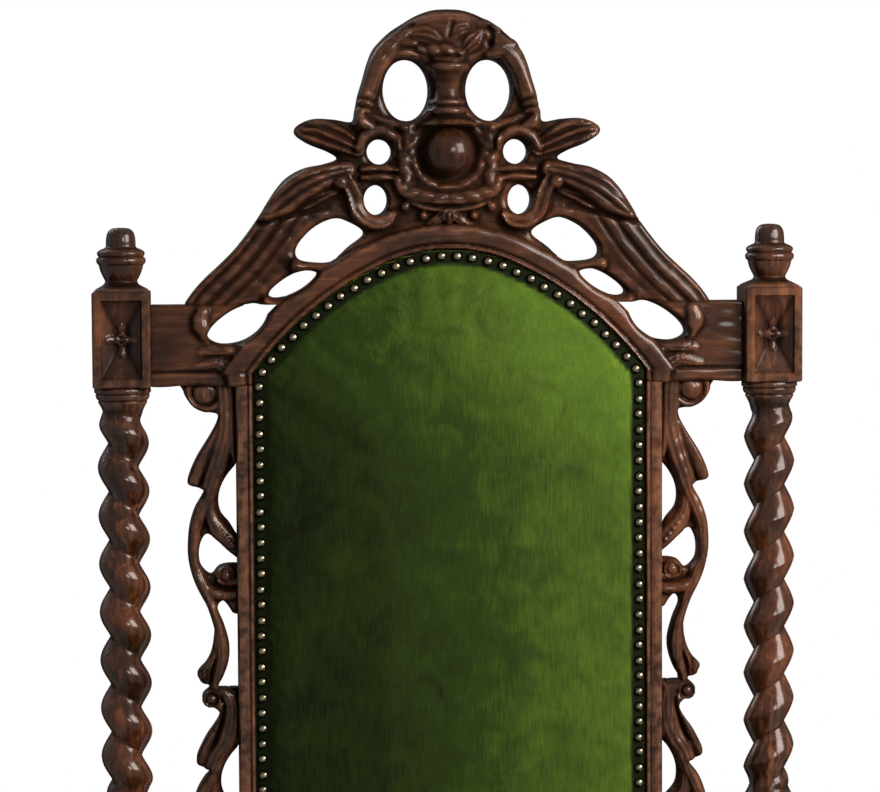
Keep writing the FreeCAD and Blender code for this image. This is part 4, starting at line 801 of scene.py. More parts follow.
def arm_scroll():
    """Rings of a roll across the arm's end, with a spiral in each face round a small eye.

    The spiral is a groove whose radius grows with the angle.
    """
    right = []
    for radius in np.concatenate([np.linspace(0.6, 22.6, 26), [23.4, ROLL_RADIUS]]):
        swing = np.abs(np.sin(math.pi * (radius / 7.6 - RING_TURN / (2 * math.pi))))
        relief = 2.4 * swing * smooth(5.0, 7.5, radius) * smooth(ROLL_RADIUS, 22.0, radius)
        eye = 3.2 * math.sqrt(max(0.0, 1 - (radius / 5.6) ** 2))
        reach = ROLL_HALF + relief + eye - 1.4 * (radius == ROLL_RADIUS)
        right.append(np.stack([reach, radius * np.cos(RING_TURN), radius * np.sin(RING_TURN)], axis=-1))
    left = [ring * np.array([-1.0, 1.0, 1.0]) for ring in right]
    return np.array(left + right[::-1]) + np.array([0.0, ARM_FRONT, ROLL_LEVEL])


def arm():
    """Left arm: a bar and its scrolled end."""
    return shifted(joined(ringed(arm_bar()), ringed(arm_scroll())), (-POST_X, 0.0, 0.0))


# Carved and pierced boards: fields on a square grid

def nearest(line, x, z):
    """Distance from every place to a line, the side it lies on and the line's columns there."""
    start, step = line[:-1], np.diff(line, axis=0)
    length = np.maximum((step[:, :2] ** 2).sum(1), 1e-9)
    flat_x, flat_z = x.ravel(), z.ravel()
    best = np.full(flat_x.shape, np.inf)
    side = np.zeros(flat_x.shape)
    columns = np.zeros((len(flat_x), line.shape[1]))
    along = np.zeros(flat_x.shape)
    for index in range(len(start)):
        dx, dz = flat_x - start[index, 0], flat_z - start[index, 1]
        t = np.clip((dx * step[index, 0] + dz * step[index, 1]) / length[index], 0, 1)
        away = np.hypot(dx - t * step[index, 0], dz - t * step[index, 1])
        closer = away < best
        best[closer] = away[closer]
        side[closer] = np.sign(step[index, 0] * dz - step[index, 1] * dx)[closer]
        columns[closer] = start[index] + t[closer, None] * step[index]
        along[closer] = (index + t[closer]) / len(start)
    shape = x.shape
    return best.reshape(shape), side.reshape(shape), columns.reshape(*shape, -1), along.reshape(shape)


def enclosed(line, x, z):
    """Signed distance to a closed line, positive inside, by counting the crossings of a level ray."""
    loop = np.vstack([line, line[:1]])
    inside = np.zeros(x.shape, bool)
    for (ax, az), (bx, bz) in zip(loop[:-1], loop[1:]):
        if az == bz:
            continue
        crosses = (az > z) != (bz > z)
        inside ^= crosses & (x < (bx - ax) * (z - az) / (bz - az) + ax)
    away = nearest(loop, x, z)[0]
    return np.where(inside, away, -away)


def away_from_oval(x, z, oval):
    """Distance outside a turned ellipse, measured towards its middle."""
    middle_x, middle_z, long, short, drop = oval
    turn = math.radians(-drop)
    a = (x - middle_x) * math.cos(turn) + (z - middle_z) * math.sin(turn)
    b = -(x - middle_x) * math.sin(turn) + (z - middle_z) * math.cos(turn)
    share = np.maximum(np.hypot(a / long, b / short), 1e-6)
    return np.hypot(a, b) * (1 - 1 / share)


def eased(inside, radius):
    """How far a rounded edge falls: a quarter circle from the board's side to radius in from it."""
    t = np.clip(inside / radius, 0, 1)
    return radius * (1 - np.sqrt(1 - (1 - t) ** 2))


class Board:
    """A board's two fields over a grid: depth inside the wood, and height of the front over the back."""

    def __init__(self, x, z, ground):
        self.x, self.z = np.meshgrid(x, z)
        self.inside = np.full(self.x.shape, -50.0)
        self.front = np.full(self.x.shape, float(ground))

    def stroke(self, spots, section):
        """Raises a carved strap along a smooth line of (across, up, half width, level) spots.

        section gives the height over the level from the place across the strap, -1 to 1, and the share
        along it. Beyond its edge the strap falls steeply, so straps that cross overlap cleanly.
        """
        line = curve(spots)
        reach = line[:, 2].max() + 14
        low, high = line[:, :2].min(0) - reach, line[:, :2].max(0) + reach
        columns = (self.x[0] > low[0]) & (self.x[0] < high[0])
        rows = (self.z[:, 0] > low[1]) & (self.z[:, 0] < high[1])
        if not columns.any() or not rows.any():
            return
        window = np.ix_(rows, columns)
        away, side, there, along = nearest(line, self.x[window], self.z[window])
        half, level = there[..., 2], there[..., 3]
        place = np.clip(side * away / half, -1, 1)
        height = level + section(place, along) - 3.4 * np.maximum(away - half, 0)
        self.front[window] = np.maximum(self.front[window], height)

    def groove(self, spots, deep, half):
        """Cuts a rounded gouge line through the front."""
        away = nearest(curve(spots, 6), self.x, self.z)[0]
        self.front -= deep * hump(away / half)

    def dome(self, middle_x, middle_z, radius, level, rise):
        """Sets a bead on the front: an ellipsoid of the given radius and rise."""
        away = np.hypot(self.x - middle_x, self.z - middle_z)
        bead = level + rise * half_round(away / radius)
        self.front = np.where(away < radius, np.maximum(self.front, bead), self.front)

    def doubled(self, uneven):
        """The same board with its mirror half at negative x, and tool marks that differ by side."""
        both = Board.__new__(Board)
        both.x = np.concatenate([-self.x[:, ::-1], self.x], axis=1)
        both.z = np.concatenate([self.z, self.z], axis=1)
        both.inside = np.concatenate([self.inside[:, ::-1], self.inside], axis=1)
        both.front = np.concatenate([self.front[:, ::-1], self.front], axis=1)
        both.front += uneven * (tooled(both.x + 0.3 * both.z, both.z, 5.3) + tooled(both.z, both.x, 8.3))
        return both

    def skin(self, rear, painted_shade=0.0):
        """Closed skin between the front and the plane v = rear, as (across, v, up), with its marks.

        Painted shade is added to how hollow the front counts: above 0 it paints the front darker, below
        0 lighter. Every node in the wood makes one face in front and one behind, with corners in the
        middles of the four cells round it. In a cell that the outline crosses, the corner moves onto the
        outline. Walls join front and back wherever wood and air are neighbours.
        """
        wood = self.inside > 0
        corners = ((0, 0), (0, 1), (1, 1), (1, 0))
        rows, columns = wood.shape[0] - 1, wood.shape[1] - 1
        depth = [self.inside[j:j + rows, i:i + columns] for j, i in corners]
        height_at = [self.front[j:j + rows, i:i + columns] for j, i in corners]
        u, w, hits = np.zeros((rows, columns)), np.zeros((rows, columns)), np.zeros((rows, columns))
        edges = ((0, 1, (0, 0), (1, 0)), (1, 2, (1, 0), (0, 1)),
                 (2, 3, (1, 1), (-1, 0)), (3, 0, (0, 1), (0, -1)))
        for a, b, start, step in edges:
            cut = (depth[a] > 0) != (depth[b] > 0)
            t = np.where(cut, depth[a] / np.where(cut, depth[a] - depth[b], 1.0), 0.0)
            u += cut * (start[0] + step[0] * t)
            w += cut * (start[1] + step[1] * t)
            hits += cut
        u = np.where(hits > 0, u / np.maximum(hits, 1), 0.5)
        w = np.where(hits > 0, w / np.maximum(hits, 1), 0.5)
        used = wood[:-1, :-1] | wood[:-1, 1:] | wood[1:, 1:] | wood[1:, :-1]

        def between(q):
            lower = q[0] * (1 - u) + q[1] * u
            return lower * (1 - w) + (q[3] * (1 - u) + q[2] * u) * w

        spread = blurred(self.front, 4) - self.front
        turned = [spread[j:j + rows, i:i + columns] for j, i in corners]
        x = self.x[:-1, :-1] + u * (self.x[0, 1] - self.x[0, 0])
        z = self.z[:-1, :-1] + w * (self.z[1, 0] - self.z[0, 0])
        count = int(used.sum())
        ids = np.full((rows, columns), -1)
        ids[used] = np.arange(count)
        height = between(height_at)[used]
        front = np.stack([x[used], rear - np.maximum(height, 3.0), z[used]], axis=-1)
        behind = np.stack([x[used], np.full(count, rear), z[used]], axis=-1)
        j, i = np.nonzero(wood)
        faces = np.stack([ids[j - 1, i - 1], ids[j - 1, i], ids[j, i], ids[j, i - 1]], axis=-1)
        parts = [faces, faces[:, ::-1] + count]
        for along_up in (False, True):
            first = wood[:-1, :] if along_up else wood[:, :-1]
            second = wood[1:, :] if along_up else wood[:, 1:]
            j, i = np.nonzero(first != second)
            start = ids[j, i - 1] if along_up else ids[j - 1, i]
            end = ids[j, i]
            facing = np.stack([start, end, end + count, start + count], axis=-1)
            outward = first[j, i] == along_up
            parts.append(np.where(outward[:, None], facing, facing[:, ::-1]))
        bend = between(turned)[used]
        # hollow: dirt and painted shade in the front's hollows, and the back a little darker; rim: painted
        # shade along the cut edges
        rim = smooth(3.4, 0.4, between(depth)[used])
        marks = {"hollow": np.concatenate([np.clip(painted_shade + bend / 1.7, 0, 1), np.full(count, 0.2)]),
                 "worn": np.concatenate([np.clip(-bend / 1.8, 0, 1), np.zeros(count)]),
                 "polish": np.concatenate([np.clip(-bend / 1.8, 0, 0.9), np.zeros(count)]),
                 "rim": np.concatenate([rim, rim])}
        return np.vstack([front, behind]), np.vstack(parts).tolist(), marks


def rounded(rise):
    """Half-round strap."""
    return lambda place, along: rise * half_round(place)


def reeded(rise, reeds):
    """Half-round strap cut with reeds along it."""
    def section(place, along):
        swell = np.sqrt(np.clip(1 - 0.85 * place ** 2, 0, None))
        return rise * swell * (0.74 + 0.26 * np.abs(np.cos(0.5 * math.pi * reeds * place)))
    return section


def gouged(rise):
    """Leaf blade: raised rims, a hollow face on each side of a middle vein."""
    def section(place, along):
        hollow = 1 - hump((np.abs(place) - 0.45) / 0.4)
        return rise * (0.35 + 0.65 * hollow) * np.sqrt(np.clip(1 - place ** 8, 0, None))
    return section


def dished(rise):
    """Flat strap with a raised rim along both edges."""
    def section(place, along):
        return rise * (0.45 + 0.55 * np.abs(place) ** 3) * np.sqrt(np.clip(1 - place ** 10, 0, None))
    return section


def gadrooned(rise, lobes, cut):
    """Half-round roll cut across into lobes, each cut a share of the rise deep."""
    def section(place, along):
        lobe = np.abs(np.cos(math.pi * lobes * along + 0.9 * place))
        return rise * half_round(place) * (1 - cut + cut * lobe)
    return section


def tooled(x, z, size):
    """Faint facets of hand tools: three crossed waves of uneven length."""
    first = np.sin(x / size + 1.7 * np.sin(z / (2.3 * size)))
    second = np.sin(z / (0.8 * size) + 0.8 * np.sin(x / size))
    return first * second + 0.5 * np.sin((x + z) / (0.55 * size))


# Back frame: the opening, its arched crest rail and the crest carving

OPENING_HALF = 164.6
STILE_OUTER = 178.5
PANEL_FOOT = 564.0
ARCH_SPRING = 1099.0
ARCH_APEX = 1201.0
CROWN_RADIUS = 132.0
CROWN_TURN = math.radians(25.0)
HAUNCH_RADIUS = 281.9
CROWN_MIDDLE = ARCH_APEX - CROWN_RADIUS
HAUNCH_X = (CROWN_RADIUS - HAUNCH_RADIUS) * math.sin(CROWN_TURN)
HAUNCH_Z = CROWN_MIDDLE + (CROWN_RADIUS - HAUNCH_RADIUS) * math.cos(CROWN_TURN)
ARCH_BAND = 21.0
LEDGE_WIDE = 16.0
LEDGE_FACE = 26.0


def past_opening(x, height):
    """Distance outwards from the opening's edge: the crown's arc, flatter haunches, straight sides."""
    x = np.abs(x)
    turn = np.arctan2(x, np.maximum(height - CROWN_MIDDLE, 1e-6))
    crown = np.hypot(x, height - CROWN_MIDDLE) - CROWN_RADIUS
    haunch = np.hypot(x - HAUNCH_X, height - HAUNCH_Z) - HAUNCH_RADIUS
    over = np.where(turn < CROWN_TURN, crown, haunch)
    return np.where(height > ARCH_SPRING, over, x - OPENING_HALF)


def opening_half(height, inset):
    """Half the opening's width at a height, moved in by an inset."""
    crown = np.sqrt(np.clip((CROWN_RADIUS - inset) ** 2 - (height - CROWN_MIDDLE) ** 2, 0, None))
    haunch = HAUNCH_X + np.sqrt(np.clip((HAUNCH_RADIUS - inset) ** 2 - (height - HAUNCH_Z) ** 2, 0, None))
    meets = CROWN_MIDDLE + (CROWN_RADIUS - inset) * math.cos(CROWN_TURN)
    over = np.where(height > meets, crown, haunch)
    straight = OPENING_HALF - inset
    return np.where(height > ARCH_SPRING - inset, np.minimum(over, straight), straight)


def opening_line(inset, foot, spacing):
    """Closed line inside the opening's edge, anticlockwise from the apex, at an even spacing."""
    turns = np.linspace(0, CROWN_TURN, 60)
    crown = np.stack([-(CROWN_RADIUS - inset) * np.sin(turns),
                      CROWN_MIDDLE + (CROWN_RADIUS - inset) * np.cos(turns)], axis=-1)
    radius = HAUNCH_RADIUS - inset
    last = math.acos((OPENING_HALF - inset - HAUNCH_X) / radius)
    turns = np.linspace(math.pi / 2 - CROWN_TURN, last, 90)[1:]
    haunch = np.stack([-(HAUNCH_X + radius * np.cos(turns)), HAUNCH_Z + radius * np.sin(turns)], axis=-1)
    half = np.vstack([crown, haunch, [(-(OPENING_HALF - inset), foot), (0.0, foot)]])
    loop = np.vstack([half, half[-2::-1] * np.array([-1.0, 1.0])])
    run = np.concatenate([[0], np.cumsum(np.hypot(*np.diff(loop, axis=0).T))])
    count = round(run[-1] / spacing)
    at = run[-1] * (np.arange(count) + 0.5) / count
    return np.stack([np.interp(at, run, loop[:, 0]), np.interp(at, run, loop[:, 1])], axis=-1)


CREST_PITCH = 1.15
CREST_GROUND = 23.0
CREST_TALL = 199.0
CREST_FOOT_X = 222.0
RAIL_GROUND = 28.5
SHOULDER_LOW = 1089.0
SHOULDER_TOP = 1156.0
SHOULDER_END = 248.5
SHOULDER_RISE = SHOULDER_TOP - ARCH_APEX

# The crest's right half over the arch's apex, as (across, up)
CREST_OUTLINE = (
    (0.0, CREST_TALL), (13.0, 198.0), (26.0, 193.5), (38.0, 186.5), (48.0, 180.0), (56.0, 172.5),
    (62.0, 165.0), (66.5, 154.0), (70.5, 140.0), (74.5, 127.0), (77.0, 114.5), (80.0, 106.0), (95.0, 108.0),
    (112.0, 108.5), (125.0, 103.0), (127.0, 96.0), (116.0, 88.0), (100.0, 81.5), (92.0, 75.5), (104.0, 71.0),
    (119.0, 68.0), (132.0, 61.5), (141.0, 53.0), (150.0, 40.0), (158.0, 27.0), (168.0, 13.0), (178.5, 0.0),
    (190.0, -11.5), (202.0, -22.5), (211.0, -32.0), (218.5, -42.0), (CREST_FOOT_X, -49.0))
RING_HOLE = (34.5, 132.0, 25.6, 19.2, 90.0)
SMALL_HOLES = ((57.0, 81.0, 10.4, 10.4, 0.0), (60.2, 41.0, 12.4, 10.0, 90.0))
HAUNCH_HOLES = (
    ((70.0, 13.6), (83.5, 23.3), (96.0, 25.8), (111.5, 19.0), (123.5, 7.3), (127.5, -2.0), (123.5, -8.5),
     (110.5, -10.8), (97.0, -9.7), (83.0, 2.0)),
    ((109.5, -20.0), (119.0, -17.0), (132.0, -21.0), (145.0, -30.0), (150.0, -37.0), (144.0, -40.0),
     (131.0, -37.0), (118.0, -29.5)),
    ((151.0, -51.0), (162.0, -44.0), (180.0, -49.5), (196.0, -61.5), (201.0, -72.0), (190.0, -78.0),
     (172.0, -75.5), (157.0, -65.0)))
BOSS_UP = 80.5
BOSS_SUNK = 7.0


def crest_front(board, up, rim):
    """Carves the crest's right half; up is the height over the apex, rim the outline's distance."""
    x = board.x
    limb = smooth(96, 112, x + 0.35 * up) * smooth(44, 26, up)
    flutes = 2.4 * np.abs(np.cos(math.pi * rim / 11.0)) * smooth(36, 24, rim)
    board.front += limb * (flutes + 2.0 * smooth(26, 10, rim)) + 1.5 * limb

    carve_ring_and_straps(board)
    carve_limb_leaves(board)
    carve_cartouche(board, up)
    carve_urn(board, up)


def carve_ring_and_straps(board):
    """The round band beside the urn, hoods over the small holes, bars between them and the C scrolls."""
    board.stroke([(71.0, 104.0, 8.0, 22.0), (70.0, 122.0, 9.5, 23.0), (64.0, 143.0, 9.5, 24.0),
                  (55.0, 159.0, 9.5, 24.0), (43.0, 171.0, 8.5, 24.0), (33.0, 179.0, 6.0, 22.0)], rounded(8.5))
    for level in (112.0, 118.5, 125.0):
        board.groove([(60.0, level - 3.0), (70.0, level), (80.0, level - 1.0)], 2.6, 2.2)
    board.stroke([(64.0, 101.0, 4.5, 28.0), (71.0, 106.0, 5.0, 29.0), (75.0, 114.0, 4.0, 27.0)], rounded(5.0))
    board.stroke([(36.0, 101.0, 3.4, 22.0), (49.0, 104.0, 4.0, 23.0), (62.0, 110.0, 4.0, 23.0)], rounded(4.0))
    board.stroke([(42.0, 84.0, 3.0, 23.0), (45.0, 93.0, 4.4, 25.0), (57.0, 99.0, 5.0, 26.0),
                  (69.0, 94.5, 4.8, 26.0), (75.5, 84.0, 3.6, 25.0)], rounded(7.0))
    for level in (67.5, 60.5):
        board.stroke([(44.0, level - 1.5, 2.2, 24.0), (57.0, level, 2.8, 25.0), (72.0, level - 1, 2.4, 24.5)],
                     rounded(3.6))
    board.stroke([(98.0, 60.0, 4.0, 28.0), (86.0, 58.0, 5.4, 28.0), (79.5, 47.0, 6.0, 28.0),
                  (74.5, 32.0, 6.2, 28.0), (63.0, 23.0, 6.2, 28.0), (52.0, 24.0, 5.0, 27.0),
                  (46.5, 29.0, 2.6, 26.0)], dished(6.0))
    board.dome(90.0, 56.0, 6.0, 30.0, 5.0)


def carve_limb_leaves(board):
    """The tongues, the leaf on each limb with its cuff line, and the strands between the haunch holes."""
    board.stroke([(76.0, 84.0, 7.0, 23.0), (93.0, 92.0, 9.5, 25.0), (109.0, 98.0, 10.0, 25.0),
                  (121.0, 99.5, 7.5, 24.0)], gouged(6.5))
    board.stroke([(84.0, 66.0, 7.0, 24.0), (104.0, 61.0, 10.5, 27.0), (124.0, 52.0, 12.5, 28.0),
                  (140.0, 40.0, 12.0, 28.0), (150.0, 31.0, 8.5, 27.0)], reeded(9.0, 3))
    board.stroke([(92.0, 50.0, 3.0, 24.0), (108.0, 45.0, 5.5, 25.0), (126.0, 36.0, 6.5, 25.0),
                  (138.0, 29.0, 4.0, 24.0)], gouged(5.0))
    board.groove([(100.0, 36.0), (118.0, 32.0), (138.0, 27.0), (160.0, 22.0)], 3.6, 2.4)
    for spots in (((92.0, -15.5, 3.2, 26.0), (110.0, -15.0, 4.2, 27.0), (126.0, -13.5, 4.8, 28.0)),
                  ((118.0, -36.0, 3.4, 26.0), (134.0, -42.5, 4.0, 26.0), (150.0, -44.0, 4.6, 28.0))):
        board.stroke(spots, rounded(5.5))
    for across, high, radius in ((127.0, -13.5, 5.4), (151.0, -43.5, 5.0)):
        board.dome(across, high, radius, 29.0, 5.0)


def carve_cartouche(board, up):
    """Shield round the boss: a rough rounded square, a lobed lower border, a thin roll and a leaf drop."""
    x = board.x
    rho = np.hypot(x, up - BOSS_UP)
    square = ((np.abs(x) / 43.0) ** 4 + (np.abs(up - 76.0) / 41.0) ** 4) ** 0.25
    field = smooth(1.06, 0.94, square)
    board.front += 3.5 * field + 3.0 * hump((square - 0.84) / 0.14)
    lumps = tooled(x + 4.0 * np.sin(up / 7.0), up, 3.3)
    board.front += 0.6 * lumps * field * smooth(24, 29, rho) - 2.5 * smooth(27, 23, rho)
    board.front += 1.6 * hump((rho - 30.0) / 3.2)
    board.stroke([(-8.0, 42.5, 6.0, 24.5), (0.0, 42.0, 6.4, 25.0), (20.0, 43.5, 6.6, 25.5),
                  (36.0, 49.0, 6.4, 25.0), (43.0, 58.0, 4.0, 24.0)], gadrooned(6.0, 6, 0.16))
    board.stroke([(-6.0, 32.5, 2.2, 25.0), (6.0, 32.5, 2.4, 25.0), (22.0, 35.0, 2.4, 25.0),
                  (34.0, 40.0, 2.2, 24.0)], rounded(3.6))
    for across, high, radius in ((36.0, 35.5, 4.2), (21.0, 28.0, 3.8)):
        board.dome(across, high, radius, 24.0, 4.5)
    board.stroke([(2.0, 31.0, 3.0, 25.0), (10.0, 24.0, 4.2, 26.0), (17.0, 20.0, 2.6, 24.0)], gouged(4.0))
    board.stroke([(-4.0, 33.0, 3.0, 26.0), (0.0, 28.0, 5.6, 27.0), (0.0, 21.0, 2.6, 26.0)], gouged(4.6))
    board.dome(0.0, 18.5, 3.4, 27.0, 3.6)


# The urn's right edge as (up, half width)
URN_EDGE = ((103.0, 25.0), (106.0, 20.0), (110.0, 14.5), (113.0, 16.6), (116.0, 17.0), (119.0, 13.0),
            (122.0, 15.0), (125.0, 11.4), (132.0, 9.8), (140.0, 10.8), (146.0, 14.2), (149.0, 18.0),
            (152.5, 18.6), (155.0, 15.0), (159.0, 17.4))


def carve_urn(board, up):
    """A round urn on a ringed foot: nearly a half circle over the width between its edges."""
    levels, halves = np.array(URN_EDGE).T
    half = np.interp(up, levels, halves)
    vase = CREST_GROUND + 0.95 * np.sqrt(np.clip(half ** 2 - board.x ** 2, 0, None))
    standing = (up > levels[0] - 1) & (up < levels[-1]) & (board.x < half)
    board.front = np.where(standing, np.maximum(board.front, vase), board.front)


def carve_bouquet(board):
    """The mass over the urn: a faceted swelling, a shell on the urn's mouth, leaves that differ by side."""
    x, up = board.x, board.z
    swell = 1 - (x / 60.0) ** 2 - ((up - 174.0) / 30.0) ** 2
    dome = np.sqrt(np.clip(swell, 0, None)) * smooth(0.0, 7.0, board.inside)
    facets = dome * (8.0 + 1.1 * tooled(x, up, 8.0))
    board.front = np.maximum(board.front, CREST_GROUND - eased(board.inside, 6.0) + facets)
    leaves = (
        ((-24.0, 166.0, 3.0, 28.0), (-12.0, 164.5, 6.0, 30.0), (0.0, 163.5, 6.0, 31.0),
         (11.0, 161.5, 3.6, 29.0), gadrooned(5.0, 3, 0.35)),
        ((34.0, 160.5, 3.6, 26.0), (45.0, 166.5, 7.5, 28.5), (55.0, 169.5, 4.0, 26.0), rounded(5.0)),
        ((13.0, 164.0, 3.0, 29.0), (20.0, 171.0, 6.4, 30.5), (27.0, 179.0, 2.6, 28.5), gouged(4.0)),
        ((3.0, 177.5, 2.6, 29.0), (10.0, 182.0, 5.0, 29.5), (19.0, 184.0, 2.6, 28.0), dished(3.0)),
        ((26.0, 186.0, 2.0, 26.5), (34.0, 186.5, 3.0, 27.0), (43.0, 181.0, 2.0, 26.0), rounded(3.4)),
        ((-6.0, 172.0, 3.0, 29.5), (-18.0, 177.0, 6.6, 30.0), (-33.0, 178.0, 3.0, 28.0), gouged(3.2)),
        ((-28.0, 170.0, 3.0, 28.0), (-40.0, 172.0, 6.0, 27.5), (-52.0, 165.0, 3.0, 25.0), rounded(4.4)),
        ((-26.0, 160.5, 3.0, 26.0), (-36.0, 163.5, 4.6, 27.0), (-48.0, 161.0, 3.0, 25.0), rounded(4.0)))
    for *spots, section in leaves:
        board.stroke(spots, section)
    board.groove([(34.0, 183.0), (37.0, 177.5), (35.5, 170.5)], 3.4, 2.6)
    board.groove([(4.0, 188.0), (3.0, 183.0), (1.0, 176.0)], 1.5, 1.8)
    board.groove([(-28.0, 186.0), (-37.0, 181.0), (-44.0, 176.0)], 2.4, 2.0)


def arch_moulding(past):
    """Section of the arch outwards from the opening: a thin bead, a sunk line, a broad low swelling."""
    bead = 2.0 * half_round((past - 2.0) / 1.9)
    line = 1.0 * hump((past - 5.0) / 1.6)
    swelling = 2.4 * half_round((past - 13.0) / 8.4)
    return 32.0 + bead - line + swelling


def crest_holes(x, up):
    """Distance from the edge of the nearest piercing, positive in the wood."""
    holes = np.full(x.shape, 60.0)
    for oval in (RING_HOLE, *SMALL_HOLES):
        holes = np.minimum(holes, away_from_oval(x, up, oval))
    for spots in HAUNCH_HOLES:
        holes = np.minimum(holes, -enclosed(curve(spots, 5, closed=True), x, up))
    return holes


def rail_half(across, heights, past, limit, holes, carved):
    """Right half of the crest rail: a shoulder with leaves, and the moulded arch with its inner ledge.

    Under the crest carving the shoulder takes the carving's front, so that the two run together.
    """
    rail = Board(across, heights, RAIL_GROUND)
    x, z = rail.x, rail.z
    rail.front += 0.2 * np.abs(np.sin(z / 8.5 + 1.6 * np.sin(x / 27.0))) + 0.18 * tooled(x / 3.4, z, 3.1)
    foot_band = smooth(SHOULDER_TOP - 26.0, SHOULDER_TOP - 2.0, z) * smooth(-1.0, 5.0, limit)
    rail.front += (np.maximum(carved, rail.front) - rail.front) * foot_band
    leaves = (
        ((205.0, 1150.0, 6.0, 28.0), (207.0, 1141.0, 7.5, 29.0), (202.0, 1131.0, 6.0, 29.0), rounded(5.0)),
        ((178.0, 1116.0, 2.5, 28.0), (190.0, 1119.0, 4.5, 29.0), (206.0, 1117.0, 3.0, 28.5), gouged(3.4)),
        ((186.0, 1109.0, 2.5, 28.0), (198.0, 1108.0, 3.8, 28.5), (211.0, 1104.0, 2.5, 28.0), gouged(3.0)),
        ((176.0, 1092.0, 5.0, 28.0), (184.0, 1102.0, 6.0, 28.5), (196.0, 1110.0, 3.0, 28.0), gouged(3.4)))
    for *spots, section in leaves:
        rail.stroke(spots, section)
    rail.groove([(182.0, 1100.0), (215.0, 1100.8), (249.0, 1100.5)], 1.8, 1.8)
    low_edge = z - SHOULDER_LOW + 0.8 * np.sin(x / 9.0)
    ends = np.minimum(x - OPENING_HALF, SHOULDER_END - x)
    shoulder = np.minimum(ends, np.minimum(low_edge, SHOULDER_TOP - z))
    arch = np.minimum(np.minimum(past + LEDGE_WIDE, ARCH_BAND + 0.01 - past), z - SHOULDER_LOW)
    rail.inside = np.minimum(np.maximum(shoulder, arch), holes)
    moulded = arch_moulding(past) + 0.12 * tooled(x, z, 7.0)
    rail.front += (moulded - rail.front) * smooth(ARCH_BAND + 2.0, ARCH_BAND - 2.0, past)
    rail.front = np.where(past > 0, rail.front, LEDGE_FACE)
    fall = np.minimum(np.minimum(holes, SHOULDER_TOP + 3.0 - z + 40.0 * (limit > 0)), low_edge + 2.0)
    rail.front -= eased(np.where(arch > 0, holes, fall), 5.0)
    return rail


def crest_boards():
    """Crest carving and arched crest rail with its shoulders, two boards on one grid."""
    across = (np.arange(int((SHOULDER_END + 6) / CREST_PITCH)) + 0.5) * CREST_PITCH
    heights = np.arange(SHOULDER_LOW - 6, ARCH_APEX + CREST_TALL + 5, CREST_PITCH)
    carving = Board(across, heights - ARCH_APEX, CREST_GROUND)
    x, up = carving.x, carving.z
    past = past_opening(x, up + ARCH_APEX)
    half = curve(CREST_OUTLINE, 6)
    loop = np.vstack([half, [(CREST_FOOT_X, -130.0), (-30.0, -130.0), (-30.0, CREST_TALL)]])
    limit, holes = enclosed(loop, x, up), crest_holes(x, up)
    edge = np.minimum(limit, holes)
    crest_front(carving, up, nearest(half, x, up)[0])
    carving.inside = np.minimum(edge, np.minimum(past - ARCH_BAND, up - SHOULDER_RISE))
    carving.front += 0.16 * tooled(x, up, 6.5) - eased(edge, 6.0)
    rail = rail_half(across, heights, past, limit, holes, carving.front)
    whole = carving.doubled(0.26)
    carve_bouquet(whole)
    whole.z = whole.z + ARCH_APEX
    return whole, rail.doubled(0.03)


# Scroll frets: straps as (out from the stile, down from the top of the unit, half width, level)

FRET_REAR = 8.0
FRET_TALL = 254.5
LOWER_LIFT = 17.0
LOWER_LEAF_LIFT = 14.0
FRET_PITCH = 1.0
# Below 0 this is painted light: the frets are painted lighter, as if more lit
FRET_PAINTED_SHADE = -0.12

# Edges of the upper unit as (out, down): outer edge downwards in two runs, inner edge upwards, openings
UPPER_TOP = ((-3.0, -4.0), (43.6, -4.0), (43.3, 4.6), (40.8, 10.4), (35.0, 17.9), (26.7, 22.1), (18.0, 23.4),
             (14.8, 24.6), (15.2, 29.0), (17.5, 34.6), (23.3, 44.6), (31.7, 57.9), (36.7, 67.9), (40.2, 77.5),
             (39.9, 82.3), (33.0, 85.4), (27.2, 87.6))
LOWER_TOP = ((-3.0, 9.0), (8.0, 0.5), (17.0, -4.0), (23.5, -4.0), (24.5, 0.0), (29.6, 5.0), (30.0, 11.5),
             (25.5, 16.0), (18.5, 17.2), (15.8, 20.5), (16.7, 25.0), (21.0, 32.0), (26.7, 40.0), (33.3, 52.6),
             (35.4, 59.0), (34.5, 63.5), (28.0, 67.5), (24.0, 70.0))
OUTER_RUN = ((29.2, 92.9), (35.0, 102.9), (39.2, 116.3), (40.8, 129.6), (40.8, 142.9), (38.3, 156.3),
             (34.2, 167.9), (30.0, 176.3), (25.4, 185.0), (20.6, 200.0), (19.6, 207.0), (21.7, 222.0),
             (26.2, 232.0), (31.7, 237.9), (34.2, 242.9), (30.6, 249.4), (24.0, 252.8))
UPPER_FOOT = ((23.4, 259.0), (16.4, 259.0), (16.2, 251.0))
LOWER_FOOT = ((27.0, 244.0), (30.0, 250.0), (31.0, 259.0), (4.0, 259.0), (8.0, 250.0), (12.0, 243.0),
              (15.6, 236.0))
INNER_RUN = ((12.3, 244.0), (7.9, 231.3), (7.1, 217.9), (11.4, 201.3), (16.6, 187.5), (11.7, 180.8),
             (-3.0, 180.0))
STILE_HOLE = ((-3.0, 64.5), (1.3, 67.9), (8.3, 76.3), (13.3, 86.3), (15.0, 96.3), (13.3, 106.3), (6.7, 114.6),
              (-3.0, 124.0))
KNEE_HOLE = ((25.0, 124.6), (30.0, 131.3), (31.7, 141.3), (30.0, 151.3), (22.0, 158.6), (15.5, 152.0),
             (8.0, 149.8), (-3.0, 148.6), (8.3, 137.9), (17.0, 129.6))

